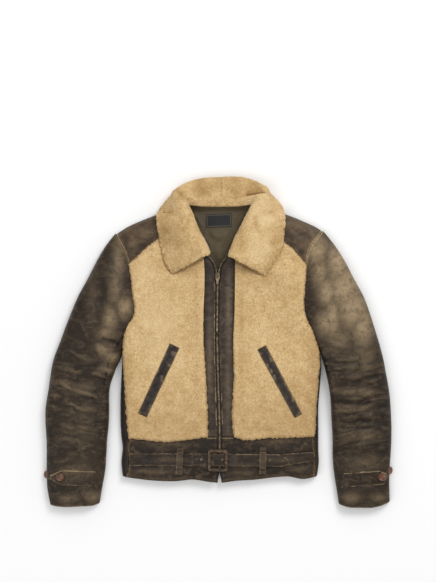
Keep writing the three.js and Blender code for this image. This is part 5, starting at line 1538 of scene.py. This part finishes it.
def sew():
    """Every row of stitching: name, panel, edge, distance in, thread, share of the edge."""
    rows = []
    for side in ("right", "left"):
        rows += [
            (f"armhole_{side}", f"yoke_{side}", "first", 2, "thread_light", (0.04, 0.99)),
            (f"sleeve_head_{side}", f"sleeve_face_{side}", "top", 2.6,
             "thread_light" if side == "left" else "thread_dark",
             (0.02, 0.27 if side == "left" else 0.9)),
            (f"yoke_hem_{side}", f"yoke_{side}", "bottom", 3.4, "thread", (0.02, 0.98)),
            (f"placket_edge_{side}", f"placket_{side}", "last", 2.6, "thread_dark", (0.03, 1)),
            (f"placket_side_{side}", f"placket_{side}", "first", 3.2, "thread_dark", (0.03, 1)),
            (f"band_top_{side}", f"waistband_front_{side}", "top", 3.4, "thread_dark", (0, 0.86)),
            (f"band_top_zip_{side}", f"waistband_front_{side}", "top", 3.2, "thread_light", (0.88, 1)),
            (f"band_hem_{side}", f"waistband_front_{side}", "bottom", 7.5, "thread_dark", (0.02, 0.98)),
            (f"band_side_{side}", f"waistband_front_{side}", "first", 3.2, "thread_rust", (0.04, 0.97)),
            (f"band_zip_{side}", f"waistband_front_{side}", "last", 3.6, "thread_dark", (0.04, 0.94)),
            (f"cuff_{side}", f"sleeve_face_{side}", "bottom", 9.5, "thread_dark", (0.05, 0.95)),
            (f"tab_top_{side}", f"cuff_tab_{side}", "last" if side == "left" else "first", 2.6,
             "thread_light", (0.02, 0.98)),
            (f"tab_bottom_{side}", f"cuff_tab_{side}", "first" if side == "left" else "last", 3,
             "thread_dark", (0.02, 0.98)),
            (f"loop_first_{side}", f"belt_loop_{side}", "first", 1.8, "thread_dark", (0.08, 0.92)),
            (f"loop_last_{side}", f"belt_loop_{side}", "last", 1.8, "thread_dark", (0.08, 0.92)),
            (f"welt_first_{side}", f"welt_{side}", "first", 2.4, "thread_dark", (0.04, 0.96)),
            (f"welt_last_{side}", f"welt_{side}", "last", 2.4, "thread_dark", (0.04, 0.96)),
            (f"belt_first_{side}", f"belt_{side}", "first", 3, "thread_dark", (0.02, 0.98)),
            (f"belt_last_{side}", f"belt_{side}", "last", 3, "thread_dark", (0.02, 0.98)),
        ]
    rows += [("tongue_first", "belt_tongue", "first", 3, "thread_dark", (0.22, 0.97)),
             ("tongue_last", "belt_tongue", "last", 3, "thread_dark", (0.22, 0.86))]
    for name, panel, side, distance, thread, part in rows:
        thick = 1.5 if thread == "thread_light" else 0.9
        stitch(f"stitches_{name}", edge_line(panels[panel], side, distance), slot=thread, part=part,
               thread=thick)
    box = [(-62, -271), (-40, -271), (-30, -293), (-62, -293), (-62, -271)]
    for k, (a, b) in enumerate(zip(box, box[1:])):
        line = line_between(a, b, 1)
        line = np.column_stack([line, belt_base(line[:, 0], line[:, 1]) + STRAP])
        stitch(f"stitches_keeper_{k}", line, slot="thread")


def build_eyelets():
    spots = [(-51, -281, 0), (-40, -281, 0), (10, -282, 0), (100, -283, 1), (125, -283, 1)]
    for k, (x, y, raised) in enumerate(spots):
        shape = bmesh.new()
        profile = [(1.3, -0.5), (1.35, 0.25), (1.9, 0.5), (2.5, 0.3), (2.7, -0.3)]
        rim = [shape.verts.new((r * MM, 0, z * MM)) for r, z in profile]
        line = [shape.edges.new(pair) for pair in zip(rim, rim[1:])]
        bmesh.ops.spin(shape, geom=rim + line, cent=(0, 0, 0), axis=(0, 0, 1), angle=math.tau, steps=24)
        bmesh.ops.remove_doubles(shape, verts=shape.verts, dist=2e-6)
        bmesh.ops.recalc_face_normals(shape, faces=shape.faces)
        top = belt_base(np.array(x), np.array(y)) + STRAP + raised * (STRAP + LIFT) + 0.2
        bmesh.ops.translate(shape, vec=(x * MM, y * MM, float(top) * MM), verts=shape.verts)
        mesh = bpy.data.meshes.new(f"eyelet_{k}")
        shape.to_mesh(mesh)
        shape.free()
        finish_piece(f"eyelet_{k}", mesh, "bronze")


def build_label():
    """A bare woven label with a plain raised border."""
    x = np.linspace(-31, 31, 90)
    y = np.linspace(16, -16, 48)
    px, py = np.meshgrid(x, y)
    c, s = math.cos(0.03), math.sin(0.03)
    plan = np.dstack([2 + px * c - py * s, 292 + px * s + py * c])
    edge = np.minimum(31 - np.abs(px), 16 - np.abs(py))
    height = REST + 1.6 + 1.3 + 0.5 * np.sin((px + 12) / 15) * soft((np.abs(px))
                                                                    / 10) + 0.25 * np.exp(-((edge - 2.6)
                                                                                            / 0.5) ** 2)
    piece = cloth("label_woven", lifted(plan, height), "label", wall=0.8,
                  values={"rub": np.exp(-((edge - 2.6) / 0.45) ** 2)})
    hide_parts("label")


def light(name, place, size, power, colour=(1, 1, 1), aim=(0, 0, 0)):
    lamp = bpy.data.lights.new(name, "AREA")
    lamp.shape = "DISK"
    lamp.size = size
    lamp.energy = power
    lamp.color = colour
    holder = bpy.data.objects.new(name, lamp)
    holder.location = place
    way = Vector(aim) - Vector(place)
    holder.rotation_euler = way.to_track_quat("-Z", "Y").to_euler()
    bpy.context.scene.collection.objects.link(holder)


def build_stage():
    mesh = bpy.data.meshes.new("floor")
    shape = bmesh.new()
    bmesh.ops.create_grid(shape, x_segments=1, y_segments=1, size=6)
    shape.to_mesh(mesh)
    shape.free()
    floor = bpy.data.objects.new("floor", mesh)
    floor.location.z = -0.0005
    bpy.context.scene.collection.objects.link(floor)
    paper = bpy.data.materials.new("White paper")
    paper.use_nodes = True
    shader = paper.node_tree.nodes["Principled BSDF"]
    shader.inputs["Base Color"].default_value = (0.97, 0.97, 0.97, 1)
    shader.inputs["Roughness"].default_value = 0.9
    shader.inputs["Specular IOR Level"].default_value = 0.0
    mesh.materials.append(paper)
    world = bpy.context.scene.world or bpy.data.worlds.new("World")
    bpy.context.scene.world = world
    world.use_nodes = True
    back = world.node_tree.nodes["Background"]
    back.inputs["Color"].default_value = (1, 1, 1, 1)
    back.inputs["Strength"].default_value = 0.62
    light("key", (1.5, 1.9, 2.6), 1.6, 52)
    light("fill", (-1.6, -1.2, 2.8), 2.6, 24)
    scene = bpy.context.scene
    scene.view_settings.view_transform = "Standard"
    scene.view_settings.look = "None"
    scene.view_settings.exposure = 0
    scene.view_settings.gamma = 1


def build_camera():
    lens = bpy.data.cameras.new("camera")
    lens.lens = 100
    lens.sensor_width = 36
    camera = bpy.data.objects.new("camera", lens)
    camera.location = (0, 0.1224, 3.9)
    camera.rotation_euler = (0, 0, 0)
    bpy.context.scene.collection.objects.link(camera)
    bpy.context.scene.camera = camera


build_camera()
make_looks()
for side_name, side_half in HALVES.items():
    build_front(side_name, side_half)
    build_yoke(side_name, side_half)
    side_seam = smooth_line(side_half["front_side"], np.linspace(0.09, 1, 12)).tolist()
    build_strip(f"side_{side_name}", side_seam, side_half["body_side"], 190, 0.7)
    build_strip(f"waistband_side_{side_name}", side_half["band_seam"], side_half["band_side"],
                96, 0.2)
    build_placket(side_name, side_half)
    build_band(side_name, side_half)
    build_sleeve(side_name, side_half)
    build_welt(side_name, side_half)
    build_loop(side_name, side_half)
    build_tab(side_name, side_half)
    build_button(side_name, side_half, 1)
    build_button(side_name, side_half, 2)
    build_zip(side_name, side_half)
build_back()
build_lining()
build_label()
build_belt()
build_collar()
metal_copy("buckle", 1.3, "buckle")
metal_copy("zip_slider", 0.35)
metal_copy("zip_pull", 0.25, body="pull_tab")
sew()
build_eyelets()
build_stage()
